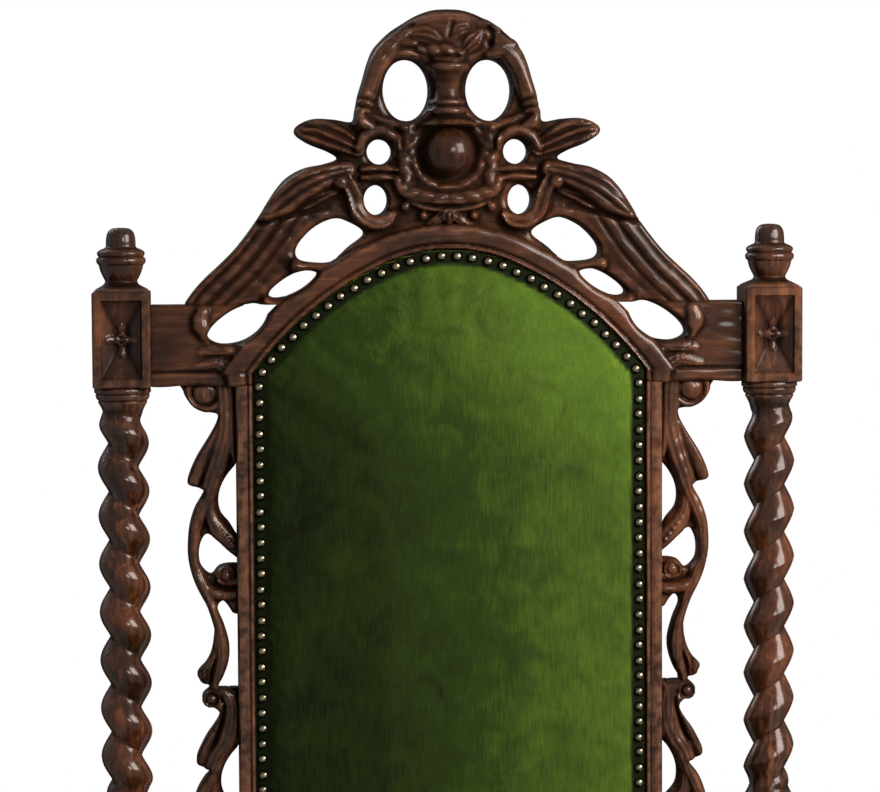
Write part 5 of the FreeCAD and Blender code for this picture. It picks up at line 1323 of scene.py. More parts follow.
# Carved straps of the upper unit as (out, down, half width, level)
STEM_HEAD = ((9.0, -4.0, 7.5, 12.5), (8.0, 18.0, 7.5, 13.0), (8.5, 38.0, 8.0, 13.5), (13.5, 58.0, 8.0, 13.5))
STEM_LINK = ((20.0, -4.0, 4.0, 12.5), (9.0, 6.0, 5.0, 13.5), (5.0, 18.0, 6.5, 13.5), (7.0, 34.0, 7.5, 13.5),
             (12.0, 48.0, 7.5, 13.5))
STEM_RUN = ((20.0, 77.0, 7.5, 13.5), (25.0, 93.0, 6.2, 13.0), (30.5, 106.0, 5.4, 13.0),
            (35.2, 119.0, 5.0, 13.0), (36.4, 131.0, 4.8, 13.0), (36.2, 142.5, 4.8, 13.0),
            (34.0, 154.0, 4.8, 13.0), (30.0, 166.0, 5.0, 13.0), (22.6, 183.0, 4.6, 13.0),
            (16.0, 201.0, 4.8, 13.0), (13.2, 217.0, 5.4, 13.0), (13.0, 231.0, 5.4, 13.0),
            (16.5, 244.0, 4.6, 12.5), (20.0, 258.0, 3.8, 12.0))
OUTER_LEAF = ((14.5, 27.0, 2.6, 12.0), (18.5, 37.0, 4.6, 13.0), (26.0, 51.0, 6.8, 14.0),
              (33.0, 66.0, 8.0, 14.0), (37.5, 78.0, 7.5, 13.0))
STILE_STRAND = ((3.5, 22.0, 2.6, 12.5), (4.0, 42.0, 4.2, 13.5), (1.0, 62.0, 3.0, 12.0))
BEADED_LEAF = ((22.5, 96.0, 4.0, 12.0), (21.0, 110.0, 4.8, 12.0), (15.5, 121.0, 6.4, 12.0),
               (7.5, 131.0, 8.0, 11.5), (-2.0, 138.5, 7.5, 11.0))
KNEE_STRAP = ((29.0, 166.0, 3.6, 11.5), (21.7, 173.0, 4.4, 13.5), (11.7, 176.0, 4.2, 13.5),
              (-3.0, 175.0, 4.2, 12.5))
LOW_LEAF = ((20.5, 209.0, 2.4, 11.0), (23.0, 225.0, 4.6, 12.0), (28.5, 238.0, 5.6, 12.0),
            (28.0, 247.0, 4.4, 11.0))

# Volutes as (out, down, radius, level)
UPPER_VOLUTES = ((25.8, 6.3, 16.8, 13.0),)
LOWER_VOLUTES = ((22.4, 9.0, 8.0, 13.0), (20.0, 247.5, 7.0, 13.0))
KNEE_VOLUTE = (9.6, 159.6, 8.2, 13.5)


def moved(spots, down):
    """The same spots further down."""
    return [(out, at + down, *rest) for out, at, *rest in spots]


def volute(board, out, down, radius, level):
    """A scroll's end: a rim, a sunk ring and a domed eye."""
    share = np.hypot(board.x - out, board.z - down) / radius
    height = level + 3.4 * half_round((share - 0.84) / 0.17)
    height = np.maximum(height, level + 3.6 * half_round(share / 0.58))
    board.front = np.where(share < 1, np.maximum(board.front, height), board.front)


def fret(lower):
    """One left fret unit: reeded stem, outer leaf, beaded inner leaf, knee volute and low leaf.

    The lower unit is the upper one moved up under a small volute, with a foot on the bottom rail.
    """
    board = Board(np.arange(-5.5, 50.0, FRET_PITCH), np.arange(-8.0, FRET_TALL + 8.0, FRET_PITCH), 10.0)
    x, z = board.x, board.z
    lift, leaf_lift = (-LOWER_LIFT, -LOWER_LEAF_LIFT) if lower else (0.0, 0.0)
    top, foot_edge = (LOWER_TOP, LOWER_FOOT) if lower else (UPPER_TOP, UPPER_FOOT)
    edge = [*top, *moved(OUTER_RUN, lift), *foot_edge, *moved(INNER_RUN, lift)]
    board.inside = enclosed(curve(edge, 4, closed=True), x, z)
    for hole in (STILE_HOLE, KNEE_HOLE):
        board.inside = np.minimum(board.inside, -enclosed(curve(moved(hole, lift), 4, closed=True), x, z))
    board.stroke(moved(OUTER_LEAF, leaf_lift), rounded(5.6))
    board.stroke(moved(BEADED_LEAF, lift), reeded(4.4, 2))
    board.stroke(moved(LOW_LEAF, lift), gouged(4.4))
    board.stroke(moved(KNEE_STRAP, lift), rounded(4.6))
    board.stroke([*(STEM_LINK if lower else STEM_HEAD), *moved(STEM_RUN, lift)], reeded(6.0, 3))
    board.stroke(moved(STILE_STRAND, lift), rounded(5.0))
    for scroll in (*(LOWER_VOLUTES if lower else UPPER_VOLUTES), *moved([KNEE_VOLUTE], lift)):
        volute(board, *scroll)
    for step in range(5):
        board.dome(18.0 - 3.6 * step, 116.0 + 4.6 * step + lift, 2.7, 14.0, 3.2)
    limit = np.minimum(np.minimum(z + 0.2, FRET_TALL + 0.2 - z), x + 0.3)
    board.front += 0.2 * tooled(x, z, 4.6) - eased(board.inside, 3.2)
    board.inside = np.minimum(board.inside, limit)
    points, faces, marks = board.skin(FRET_REAR, FRET_PAINTED_SHADE)
    head = SHOULDER_LOW - (FRET_TALL if lower else 0.0)
    placed = np.stack([-(STILE_OUTER + points[:, 0]), points[:, 1], head - points[:, 2]], axis=-1)
    return leaned(placed), faces, marks


# Straight members of the back frame

RAIL_LOW = 510.0
RAIL_TOP = 580.0
RAIL_HALF = 248.0
RAIL_BEADS = (514.5, 557.0)


def stile():
    """Left stile: one section with a bead by the nails and a ledge for the upholstery, drawn up the back."""
    bend = np.radians(np.linspace(180, 0, 9))
    bead = np.stack([166.4 + 1.6 * np.cos(bend), -15.9 - 1.3 * np.sin(bend)], axis=-1)
    face = np.array([(168.4, -15.7), (169.6, -16.6), (173.0, -17.0), (176.6, -16.8), (178.0, -15.8),
                     (178.5, -14.0)])
    rear = np.array([(178.5, 15.5), (177.0, 17.0), (150.0, 17.0), (148.6, 15.6), (148.6, -9.0),
                     (164.6, -9.0), (164.7, -14.5)])
    section = np.vstack([bead, face, rear])
    # Points of the section on top of the bead and the face, and in the grooves beside them
    order = np.arange(len(section))
    crests, quirks = np.isin(order, (3, 4, 5, 11, 12)), np.isin(order, (0, 8, 9, 20, 21))
    rings = []
    for height in np.linspace(RAIL_TOP, SHOULDER_LOW, 90):
        wave = 0.22 * np.sin(height / 13.0 + section[:, 0]) * (section[:, 1] < -10)
        rings.append(np.stack([-section[:, 0], section[:, 1] + wave, np.full(len(section), height)], axis=-1))
    rings = leaned(np.array(rings))
    points, faces = tube(rings)
    worn = np.tile(np.where(crests, 0.9, 0.5), len(rings))
    # Dirt and painted shade in the grooves beside the bead and the face
    hollow = np.tile(np.where(quirks, 0.45, 0.0), len(rings))
    ends = np.zeros(2)
    return points, faces, {"hollow": np.concatenate([hollow, ends]), "worn": np.concatenate([worn, ends])}


def bottom_rail():
    """Bottom rail of the back: beads along both edges of a gouged face, and a rebate for the upholstery."""
    pitch = 1.5
    across = np.arange(-RAIL_HALF - 6, RAIL_HALF + 6 + pitch, pitch)
    board = Board(across, np.arange(RAIL_LOW - 6, RAIL_TOP + 8, pitch), 29.0)
    x, z = board.x, board.z
    board.inside = np.minimum(RAIL_HALF - np.abs(x), np.minimum(z - RAIL_LOW, RAIL_TOP - z))
    lower, upper = (half_round((z - level) / 3.6) for level in RAIL_BEADS)
    field = smooth(518.5, 522.0, z) * smooth(553.0, 549.5, z)
    gouge = np.abs(np.sin(math.pi * x / 21.0))
    lobes = half_round((z - 536.0) / 13.5) * gouge ** 0.6
    board.front += 5.0 * np.maximum(lower, upper) + 4.2 * lobes * field - 1.5 * field
    board.front += 0.25 * tooled(x, z, 4.0)
    rebate = (np.abs(x) < OPENING_HALF) & (z > PANEL_FOOT - 1)
    board.front = np.where(rebate, LEDGE_FACE, board.front)
    return leaned_back(board.skin(BACK_FACE))


# Nails

NAIL_PITCH = 13.0
NAIL_INSET = 6.0
NAIL_RADIUS = 4.5
NAIL_TALL = 4.2
NAIL_SIDES = 8
PAD_EDGE = -15.2

# Rings of a nail head as (share of its radius, share of its height, how rubbed, which also paints a
# highlight)
NAIL_RINGS = ((1.0, 0.0, 0.0), (0.93, 0.38, 0.03), (0.66, 0.78, 0.22))


def nail_heads(spots, first, second, outward):
    """Domed nail heads: three rings of eight and a top, each tipped a little by a fixed uneven rule."""
    turn = np.linspace(0, 2 * math.pi, NAIL_SIDES, endpoint=False)
    local = [np.stack([share * np.cos(turn), share * np.sin(turn), np.full(NAIL_SIDES, rise)], axis=-1)
             for share, rise, rubbed in NAIL_RINGS]
    local = np.vstack([*local, [(0.0, 0.0, 1.0)]]) * np.array([NAIL_RADIUS, NAIL_RADIUS, NAIL_TALL])
    count = len(spots)
    order = np.arange(count)
    slip = 0.35 * np.stack([np.sin(2.4 * order), np.cos(3.7 * order)], axis=-1)
    tip = 0.07 * np.stack([np.sin(5.1 * order), np.cos(4.3 * order)], axis=-1)
    height = local[None, :, 2] + (local[None, :, :2] * tip[:, None, :]).sum(2) * (local[None, :, 2] > 0)
    points = (spots[:, None, :] + (local[None, :, 0] + slip[:, :1])[..., None] * first[:, None, :]
              + (local[None, :, 1] + slip[:, 1:])[..., None] * second[:, None, :]
              + height[..., None] * outward[:, None, :])
    ids = np.arange(NAIL_SIDES)
    beside = (ids + 1) % NAIL_SIDES
    wall = np.stack([ids, beside, beside + NAIL_SIDES, ids + NAIL_SIDES], axis=-1)
    inner = 2 * NAIL_SIDES
    cap = np.stack([ids + inner, beside + inner, np.full(NAIL_SIDES, len(local) - 1)], axis=-1)
    head = wall.tolist() + (wall + NAIL_SIDES).tolist() + cap.tolist() + [ids[::-1].tolist()]
    every = [[k + len(local) * which for k in face] for which in range(count) for face in head]
    worn = np.append(np.repeat([rubbed for share, rise, rubbed in NAIL_RINGS], NAIL_SIDES), 1.0)
    return points.reshape(-1, 3), every, {"worn": np.tile(worn, count)}


def back_nails():
    """Close nailing round the back, inside the opening's edge."""
    line = opening_line(NAIL_INSET, PANEL_FOOT + NAIL_INSET, NAIL_PITCH)
    spots = np.stack([line[:, 0], np.full(len(line), PAD_EDGE), line[:, 1]], axis=-1)
    ahead = leaned(spots + np.array([0.0, -1.0, 0.0])) - leaned(spots)
    above = leaned(spots + np.array([0.0, 0.0, 1.0])) - leaned(spots)
    right = np.tile([1.0, 0.0, 0.0], (len(spots), 1))
    return nail_heads(leaned(spots), right, above, ahead)


HEM_LEVEL = 382.0
HEM_WIDE = 474.0
HEM_DEEP = 362.0
HEM_SIDE = 292.2

# Nailed hems of the seat as (length, start, direction of the run, direction outwards)
HEMS = ((HEM_WIDE, (-HEM_WIDE / 2, -247.0), (1, 0), (0, -1)),
        (HEM_WIDE, (-HEM_WIDE / 2, 223.4), (1, 0), (0, 1)),
        (HEM_DEEP, (-HEM_SIDE, MIDDLE_LINE - HEM_DEEP / 2), (0, 1), (-1, 0)),
        (HEM_DEEP, (HEM_SIDE, MIDDLE_LINE - HEM_DEEP / 2), (0, 1), (1, 0)))


def seat_nails():
    """Nailing along the lower hem of the seat between the posts."""
    parts = []
    for length, start, step, out in HEMS:
        count = round(length / NAIL_PITCH) + 1
        run = np.linspace(0, length, count)
        spots = np.stack([start[0] + step[0] * run, start[1] + step[1] * run, np.full(count, HEM_LEVEL)],
                         axis=-1)
        outward = np.tile([out[0], out[1], 0.0], (count, 1))
        upward = np.tile([0.0, 0.0, 1.0], (count, 1))
        parts.append(nail_heads(spots, np.cross(upward, outward), upward, outward))
    return joined(*parts)


# Upholstery

BLOW_FRAMES = 20


def places(mesh):
    """The points of a mesh in metres."""
    flat = np.zeros(3 * len(mesh.vertices), np.float32)
    mesh.vertices.foreach_get("co", flat)
    return flat.reshape(-1, 3).astype(float)


def blown_up(made, rest, held, cap):
    """A stuffed piece's points after a short run as cloth under pressure, their movement capped."""
    group = made.vertex_groups.new(name="held")
    group.add(np.nonzero(held(rest / MM))[0].tolist(), 1.0, "REPLACE")
    cloth = made.modifiers.new("stuffing", "CLOTH")
    cloth.settings.vertex_group_mass = "held"
    cloth.settings.use_pressure = True
    cloth.settings.uniform_pressure_force = 4.0
    cloth.settings.effector_weights.gravity = 0.0
    cloth.settings.mass = 0.4
    cloth.settings.tension_stiffness = 12.0
    cloth.settings.compression_stiffness = 12.0
    cloth.settings.bending_stiffness = 1.5
    cloth.point_cache.frame_start = 1
    cloth.point_cache.frame_end = BLOW_FRAMES
    scene = bpy.context.scene
    for step in range(1, BLOW_FRAMES + 1):
        scene.frame_set(step)
    move = places(made.evaluated_get(bpy.context.evaluated_depsgraph_get()).data) - rest
    made.modifiers.remove(cloth)
    made.vertex_groups.clear()
    scene.frame_set(1)
    far = np.maximum(np.linalg.norm(move, axis=1, keepdims=True), 1e-12)
    return rest + move * np.minimum(1.0, cap * MM / far)


def plumped(name, shape, voxel, held, cap):
    """A stuffed piece and its points: remeshed evenly, then blown up as cloth with some points held.

    held takes the points in millimetres and gives which of them stay where they are.
    """
    rough = bpy.data.meshes.new(name + "_rough")
    rough.from_pydata((np.asarray(shape[0]) * MM).tolist(), [], shape[1])
    made = new_object(name, rough)
    even = made.modifiers.new("even", "REMESH")
    even.mode = "VOXEL"
    even.voxel_size = voxel * MM
    even.use_smooth_shade = True
    mesh = bpy.data.meshes.new_from_object(made.evaluated_get(bpy.context.evaluated_depsgraph_get()))
    made.modifiers.remove(even)
    made.data = mesh
    mesh.name = name
    rest = places(mesh)
    rest = blown_up(made, rest, held, cap)
    return made, rest


def settled(made, points, finish, stands_for):
    """Gives a stuffed piece its final points in metres, one subdivision, its finish and its place."""
    mesh = made.data
    mesh.vertices.foreach_set("co", points.astype(np.float32).ravel())
    mesh.shade_smooth()
    mesh.update()
    finer = made.modifiers.new("finer", "SUBSURF")
    finer.levels = 1
    finer.render_levels = 1
    mesh.materials.clear()
    mesh.materials.append(finish)
    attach(made, "root")
    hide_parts(*stands_for)
    return made


def arch_ring(inset, v):
    """One outline of the back pad: up the right side, over the arch, down the left and along the foot."""
    heights = np.concatenate([np.linspace(PANEL_FOOT + inset, ARCH_SPRING, 60)[:-1],
                              ARCH_SPRING + (ARCH_APEX - inset - ARCH_SPRING)
                              * np.sin(np.linspace(0, math.pi / 2, 60))])
    half = opening_half(heights, inset)
    right = np.stack([half, np.full(len(half), v), heights], axis=-1)
    left = right[-2::-1] * np.array([-1.0, 1.0, 1.0])
    foot = np.linspace(left[-1], right[0], 42)[1:-1]
    return np.vstack([right, left, foot])


PAD_HEM = 14.0
PAD_ROLL = 62.0
PAD_CROWN = 17.5


def inside_opening(x, height):
    """Distance in from the edge of the upholstered opening."""
    return np.minimum(-past_opening(x, height), height - PANEL_FOOT)


def back_pad():
    """Stuffed back: outlines that step in by roll * (1 - cos) and forward by crown * sin of a turn.

    It is drawn in between the nails, a little slack in the middle, and tucked under the rail's bead.
    """
    rings = [arch_ring(0.5, -9.0), arch_ring(0.5, -14.4), arch_ring(1.4, PAD_EDGE),
             arch_ring(PAD_HEM, PAD_EDGE)]
    for turn in np.linspace(0, math.pi / 2, 14)[1:]:
        inset = PAD_HEM + PAD_ROLL * (1 - math.cos(turn))
        rings.append(arch_ring(inset, PAD_EDGE - PAD_CROWN * math.sin(turn)))

    def held(spots):
        x, v, height = upright(spots)
        return (inside_opening(x, height) < PAD_HEM + 1.0) | (v > -14.0)

    made, rest = plumped("back_cushion", tube(leaned(np.array(rings))), 4.6, held, 5.0)
    x, v, height = upright(rest / MM)
    inset = inside_opening(x, height)
    crown = smooth(-14.0, -17.0, v)
    # Painted shade: a dark band along the nails, where the cover is pulled down
    set_mark(made.data, "nail_band_shade", smooth(13.5, 9.0, inset))
    pull = 0.55 * np.cos(2 * math.pi * (x + height) / NAIL_PITCH / 1.2) * smooth(34, 16, inset) * crown
    slack = 0.8 * np.sin(x / 31.0 + 1.3 * np.sin(height / 67.0)) * np.sin(height / 58.0)
    slack = slack * smooth(40, 90, inset)
    shift = (pull + slack * crown)[:, None] * np.array([0.0, math.cos(RAKE), -math.sin(RAKE)])
    out_x = past_opening(x + 0.5, height) - past_opening(x - 0.5, height)
    out_z = past_opening(x, height + 0.5) - past_opening(x, height - 0.5)
    outward = np.stack([out_x, out_z * math.sin(RAKE), out_z * math.cos(RAKE)], axis=-1)
    shift += outward * (1.3 * smooth(7.0, 2.0, -past_opening(x, height)))[:, None]
    return settled(made, rest + shift * MM, BACK_VELVET,
                   ("back_cover", "back_stuffing", "back_hessian", "back_webbing"))


SEAT_SIDE = 292.0
SEAT_FRONT = FRONT_LINE - 20.0
SEAT_REAR = REAR_LINE + 20.0
NOTCH_X = 246.6
NOTCH_FRONT = FRONT_LINE + 25.4
NOTCH_REAR = REAR_LINE - 25.4


def inside_seat(x, y):
    """Distance in from the seat's edge: a rectangle less the four posts' corners."""
    whole = np.minimum(SEAT_SIDE - np.abs(x), np.minimum(y - SEAT_FRONT, SEAT_REAR - y))
    corner_x = np.abs(x) - NOTCH_X
    corner_y = np.maximum(NOTCH_FRONT - y, y - NOTCH_REAR)
    notch = np.minimum(corner_x, corner_y)
    gap = np.hypot(np.minimum(corner_x, 0), np.minimum(corner_y, 0))
    return np.minimum(whole, np.where(notch > 0, -notch, gap))


SEAT_FLOOR = 434.4
SEAT_EDGE_TALL = 20.5
SEAT_CROWN = 22.5


def seat_pad():
    """Stuffed seat: a field of heights that rises from rolled edges to a crown, over a flat underside."""
    pitch = 4.4
    board = Board(np.arange(-300, 300 + pitch, pitch), np.arange(-256, 236 + pitch, pitch), 0.0)
    inside = inside_seat(board.x, board.z)
    board.inside = inside
    share = np.clip(inside / 100.0, 0, 1)
    board.front = SEAT_EDGE_TALL - eased(inside, 12.0) + SEAT_CROWN * (1 - (1 - share) ** 2.3)
    points, faces = board.skin(0.0)[:2]
    placed = np.stack([points[:, 0], points[:, 2], SEAT_FLOOR - points[:, 1]], axis=-1)

    def held(spots):
        return (spots[:, 2] < SEAT_FLOOR + 7) | (inside_seat(spots[:, 0], spots[:, 1]) < 4.0)

    made, rest = plumped("seat_cushion", (placed, [face[::-1] for face in faces]), 5.1, held, 6.0)
    x, y, z = (rest / MM).T
    top = smooth(445, 460, z)
    dip = 3.0 * np.exp(-((x / 150) ** 2 + ((y - 20) / 130) ** 2)) * top
    ripple = 0.5 * np.sin(x / 27.0 + 1.1 * np.sin(y / 49.0)) * np.sin(y / 43.0) * top
    rest[:, 2] -= (dip + ripple) * MM
    return settled(made, rest, SEAT_VELVET,
                   ("seat_cover", "seat_stuffing", "seat_hessian", "seat_webbing"))


# A border's section as (out from the rail, height), and its welt
BORDER_SECTION = np.array([(0.0, 372.0), (1.5, 371.6), (2.2, 372.6), (2.1, 377.0), (1.9, 382.0), (2.7, 390.0),
                           (3.2, 402.0), (3.3, 416.0), (2.8, 428.0), (2.3, 437.0), (0.0, 437.6)])
WELT_RADIUS = 3.1
WELT_OUT = 2.4
WELT_LEVEL = 438.4
WELT_SIDES = 16


def border(length, name, place):
    """A velvet border on one seat rail: a slightly swelled strip drawn in at each nail, from hem to welt."""
    out, up = BORDER_SECTION.T
    rings = []
    for share in np.linspace(0, 1, int(length / 2.6)):
        run = (share - 0.5) * length
        pull = 0.5 * np.cos(2 * math.pi * run / NAIL_PITCH) * smooth(404.0, 384.0, up) * (out > 1.8)
        rings.append(np.stack([np.full(len(up), run), np.maximum(out - pull, 0.0), up], axis=-1))
    points, faces = tube(np.array(rings))
    return piece(name, (place(points), faces), SEAT_VELVET)


def welt(length, name, place):
    """A velvet-covered piping cord with rounded ends along the top of a border."""
    turn = np.linspace(0, 2 * math.pi, WELT_SIDES, endpoint=False)
    rings = []
    for share in np.linspace(0, 1, int(length / 4)):
        run = (share - 0.5) * length
        end = length / 2 - abs(run)
        radius = WELT_RADIUS * math.sqrt(min(1.0, max(0.02, end / 4.0)))
        rings.append(np.stack([np.full(WELT_SIDES, run), WELT_OUT + radius * np.cos(turn),
                               WELT_LEVEL + radius * np.sin(turn)], axis=-1))
    points, faces = tube(np.array(rings))
    return piece(name, (place(points), faces), SEAT_VELVET)


# How far out the seat rails' faces lie from the posts' axes and the middle, and the borders' lengths
RAIL_FACE = 18.0
SIDE_FACE = POST_X + RAIL_FACE
BORDER_WIDE = 493.0
BORDER_DEEP = 379.0


def seat_sides():
    """Borders and welts on the four seat rails; each is built along x and turned to its side."""
    def front(points):
        return np.stack([-points[:, 0], FRONT_LINE - RAIL_FACE - points[:, 1], points[:, 2]], axis=-1)

    def rear(points):
        return np.stack([points[:, 0], REAR_LINE + RAIL_FACE + points[:, 1], points[:, 2]], axis=-1)

    def left(points):
        return np.stack([-SIDE_FACE - points[:, 1], MIDDLE_LINE + points[:, 0], points[:, 2]], axis=-1)

    def right(points):
        return np.stack([SIDE_FACE + points[:, 1], MIDDLE_LINE - points[:, 0], points[:, 2]], axis=-1)

    sides = (("front", front, BORDER_WIDE), ("rear", rear, BORDER_WIDE),
             ("left", left, BORDER_DEEP), ("right", right, BORDER_DEEP))
    for word, place, length in sides:
        border(length, f"seat_border_{word}", place)
        welt(length, f"seat_welt_{word}", place)


def thickened(made, thick, side):
    """Gives a cloth its thickness in millimetres, to the outer side of its faces with 1, inner with -1."""
    wall = made.modifiers.new("thick", "SOLIDIFY")
    wall.thickness = thick * MM
    wall.offset = side


def back_lining():
    """Cloth stretched over the back of the frame: rows across the arched opening, slightly puckered."""
    heights = PANEL_FOOT + (ARCH_APEX - 0.6 - PANEL_FOOT) * np.sin(np.linspace(0, math.pi / 2, 110))
    half = opening_half(heights, 0.5)
    share = np.linspace(-1, 1, 81)
    x = half[:, None] * share[None, :]
    z = np.broadcast_to(heights[:, None], x.shape)
    near_edge = smooth(26, 4, inside_opening(x, z))
    v = 17.3 + 0.3 * near_edge * (1 + np.cos((x + z) / 5.0))
    points = leaned(np.stack([x, v, z], axis=-1).reshape(-1, 3))
    ids = np.arange(x.size).reshape(x.shape)
    faces = np.stack([ids[:-1, :-1], ids[1:, :-1], ids[1:, 1:], ids[:-1, 1:]], axis=-1).reshape(-1, 4)
    made = piece("lining", (points, faces.tolist()), LINING, ("back_lining",))
    thickened(made, 0.8, 1.0)


DUST_LEVEL = 361.7


def dust_cloth():
    """Cloth stretched under the seat rails, cut out round the four posts, with a slight sag."""
    side, notch = 280.0, 246.5
    x = np.concatenate([np.linspace(-side, -notch, 5)[:-1], np.linspace(-notch, notch, 61),
                        np.linspace(notch, side, 5)[1:]])
    front, rear = FRONT_LINE - 8.0, REAR_LINE + 8.0
    y = np.concatenate([np.linspace(front, NOTCH_FRONT, 5)[:-1], np.linspace(NOTCH_FRONT, NOTCH_REAR, 49),
                        np.linspace(NOTCH_REAR, rear, 5)[1:]])
    across, deep = np.meshgrid(x, y)
    sag = 3.0 * hump(across / 262) * hump((deep - MIDDLE_LINE) / 205)
    points = np.stack([across, deep, DUST_LEVEL - sag], axis=-1).reshape(-1, 3)
    ids = np.arange(across.size).reshape(across.shape)
    quads = np.stack([ids[:-1, :-1], ids[:-1, 1:], ids[1:, 1:], ids[1:, :-1]], axis=-1)
    middle_x = np.abs(across[:-1, :-1] + across[1:, 1:]) / 2
    middle_y = (deep[:-1, :-1] + deep[1:, 1:]) / 2
    kept = (middle_x < notch) | ((middle_y > NOTCH_FRONT) & (middle_y < NOTCH_REAR))
    used, faces = np.unique(quads[kept], return_inverse=True)
    faces = faces.reshape(-1, 4)[:, ::-1].tolist()
    made = piece("under_cloth", (points[used], faces), DUST_CLOTH, ("seat_dust_cloth",))
    thickened(made, 0.6, -1.0)


SIDES = (("left", -1), ("right", 1))
LEFT_ARRIS = 0.0
RIGHT_ARRIS = 0.5
# Painted shade over the boards' whole fronts: the crest and its rail are painted darker, as if less lit
CREST_PAINTED_SHADE = 0.74
RAIL_PAINTED_SHADE = 0.36


def wood_piece(node, shape, grain, crease=TURNED_CREASE):
    """A finished wooden piece in place of the solid of that name."""
    piece(f"{node}_wood", shape, grain, (node,), crease)


def wood_pair(node, shape, grain, crease=TURNED_CREASE):
    """A left-hand piece and its mirror image."""
    wood_piece(f"{node}_left", shape, grain, crease)
    wood_piece(f"{node}_right", opposite(shape), grain, crease)


def build_chair():
    """Every piece of the chair, soft ones first, and wood on the solids that stay in view."""
    back_pad()
    seat_pad()
    seat_sides()
    back_lining()
    dust_cloth()
    wood_piece("rear_post_left", rear_post(LEFT_ARRIS), WOOD_UP)
    wood_piece("rear_post_right", opposite(rear_post(RIGHT_ARRIS)), WOOD_UP)
    wood_pair("front_post", front_post(), WOOD_UP)
    wood_pair("stretcher", side_stretcher(), WOOD_DEEP)
    wood_pair("arm", arm(), WOOD_DEEP)
    wood_pair("back_stile", stile(), WOOD_UP)
    wood_piece("stretcher_cross", cross_stretcher(), WOOD_ACROSS)
    for end, line in (("front", FRONT_LINE), ("rear", REAR_LINE)):
        for side, sign in SIDES:
            wood_piece(f"foot_{end}_{side}", shifted(foot(), (sign * POST_X, line, 0.0)), WOOD_UP)
    for side, sign in SIDES:
        standing = shifted(finial(), (sign * POST_X, 0.0, TOP_BLOCK[1]))
        wood_piece(f"finial_{side}", leaned_back(standing), WOOD_UP)
    wood_piece("crest_boss", boss(), WOOD_UP)
    for node, board, painted_shade in zip(("crest_carving", "crest_rail"), crest_boards(), (CREST_PAINTED_SHADE, RAIL_PAINTED_SHADE)):
        wood_piece(node, leaned_back(board.skin(BACK_FACE, painted_shade)), WOOD_ACROSS, CARVED_CREASE)
    for word, lower in (("upper", False), ("lower", True)):
        wood_pair(f"scroll_fret_{word}", fret(lower), WOOD_UP, CARVED_CREASE)
    wood_piece("back_bottom_rail", bottom_rail(), WOOD_ACROSS, CARVED_CREASE)
    piece("back_nail_heads", back_nails(), BRASS, ("back_nails",), NAIL_CREASE)
    piece("seat_nail_heads", seat_nails(), BRASS, ("seat_nails",), NAIL_CREASE)
    finishes = {"seat_rail_left": WOOD_DEEP, "seat_rail_right": WOOD_DEEP, "joint_pegs": WOOD_UP,
                "crest_dowels": WOOD_UP, "fret_dowels": WOOD_ACROSS}
    for name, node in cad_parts.items():
        if not node.hide_render:
            node.data.materials.clear()
            node.data.materials.append(finishes.get(name, WOOD_ACROSS))


# Camera, floor and light

WHITE = (1.0, 1.0, 1.0, 1.0)
CAMERA_PLACE = (-0.201, -2.2426, 1.425)
CAMERA_YAW = math.radians(4.45)
CAMERA_PITCH = math.radians(7.95)
FOCAL_PIXELS = 3006.9
PICTURE_WIDE = 880.0
SENSOR_WIDE = 36.0
FLOOR_RADIUS = 2.1
FLOOR_SIDES = 96
ROOM_LIGHT = 0.05

# Lamps as (name, place, aim, size in metres, watts, colour)
LAMPS = (("window_right", (1.15, -0.75, 1.75), (0.0, 0.15, 1.0), 0.9, 74.0, (1.0, 0.97, 0.93)),
         ("window_front", (0.9, -2.4, 1.95), (0.0, 0.1, 0.9), 0.6, 36.0, WHITE[:3]),
         ("behind", (-1.2, 2.4, 2.2), (0.0, 0.2, 0.8), 1.6, 95.0, WHITE[:3]))


def aimed(made, place, ahead):
    """Puts a camera or a lamp at a place and turns it to look ahead."""
    made.location = place
    made.rotation_mode = "QUATERNION"
    made.rotation_quaternion = ahead.to_track_quat("-Z", "Y")


def set_camera():
    """A standing photographer a little to the left, looking down on the back."""
    level = math.cos(CAMERA_PITCH)
    ahead = (math.sin(CAMERA_YAW) * level, math.cos(CAMERA_YAW) * level, -math.sin(CAMERA_PITCH))
    lens = bpy.data.cameras.new("photographer")
    lens.sensor_width = SENSOR_WIDE
    lens.lens = FOCAL_PIXELS * SENSOR_WIDE / PICTURE_WIDE
    made = new_object("photographer", lens)
    aimed(made, CAMERA_PLACE, Vector(ahead))
    bpy.context.scene.camera = made


def seen(tree):
    """1 for what the camera, a mirror or a glass sees of the background, 0 for its light on the chair."""
    path = add(tree, "ShaderNodeLightPath").outputs
    shown = maths(tree, "MAXIMUM", path["Is Camera Ray"], path["Is Glossy Ray"])
    return maths(tree, "MAXIMUM", shown, path["Is Transmission Ray"])


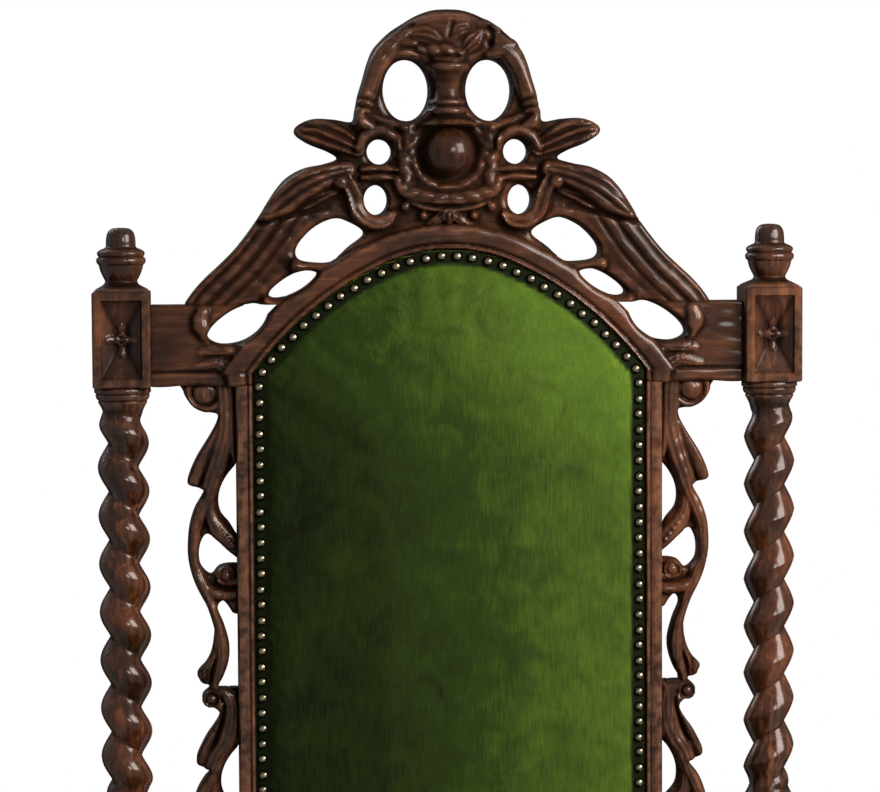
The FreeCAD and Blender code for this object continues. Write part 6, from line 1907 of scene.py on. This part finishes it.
def blended(tree, share, first, second, end):
    """Two shaders mixed by a share, put out as the surface."""
    blend = add(tree, "ShaderNodeMixShader", {}, {0: share, 1: first.outputs[0], 2: second.outputs[0]})
    tree.links.new(blend.outputs[0], tree.nodes[end].inputs["Surface"])


def set_floor():
    """A pale round floor whose rim fades into the white background."""
    turn = np.linspace(0, 2 * math.pi, FLOOR_SIDES, endpoint=False)
    points = FLOOR_RADIUS * np.stack([np.cos(turn), np.sin(turn), np.zeros(FLOOR_SIDES)], axis=-1)
    mesh = bpy.data.meshes.new("floor")
    mesh.from_pydata(points.tolist(), [], [list(range(FLOOR_SIDES))])
    made, tree, shader = finish_start("pale_floor")
    fit(tree, shader, {"Base Color": (0.80, 0.79, 0.77, 1.0), "Roughness": 0.85})
    far = add(tree, "ShaderNodeVectorMath", {"operation": "LENGTH"}, {0: own_place(tree)}).outputs["Value"]
    rim = eased_range(tree, far, 0.7, 2.0, 0.0, 1.0)
    glow = add(tree, "ShaderNodeEmission", {}, {"Color": WHITE, "Strength": 1.0})
    blended(tree, maths(tree, "MULTIPLY", rim, seen(tree)), shader, glow, "Material Output")
    mesh.materials.append(made)
    floor = new_object("floor", mesh)


def set_world():
    """White behind the chair, and an even grey light on it."""
    world = bpy.data.worlds.new("studio")
    bpy.context.scene.world = world
    world.use_nodes = True
    tree = world.node_tree
    light = tree.nodes["Background"]
    fit(tree, light, {"Color": WHITE, "Strength": ROOM_LIGHT})
    white = add(tree, "ShaderNodeBackground", {}, {"Color": WHITE, "Strength": 1.0})
    blended(tree, seen(tree), light, white, "World Output")


def set_lamp(name, place, aim, size, power, colour):
    """A square soft light at a place, turned to an aim."""
    lamp = bpy.data.lights.new(name, "AREA")
    lamp.size = size
    lamp.energy = power
    lamp.color = colour
    aimed(new_object(name, lamp), place, Vector(aim) - Vector(place))


bpy.context.scene.view_settings.view_transform = "Standard"
build_chair()
set_camera()
set_floor()
set_world()
for lamp_row in LAMPS:
    set_lamp(*lamp_row)
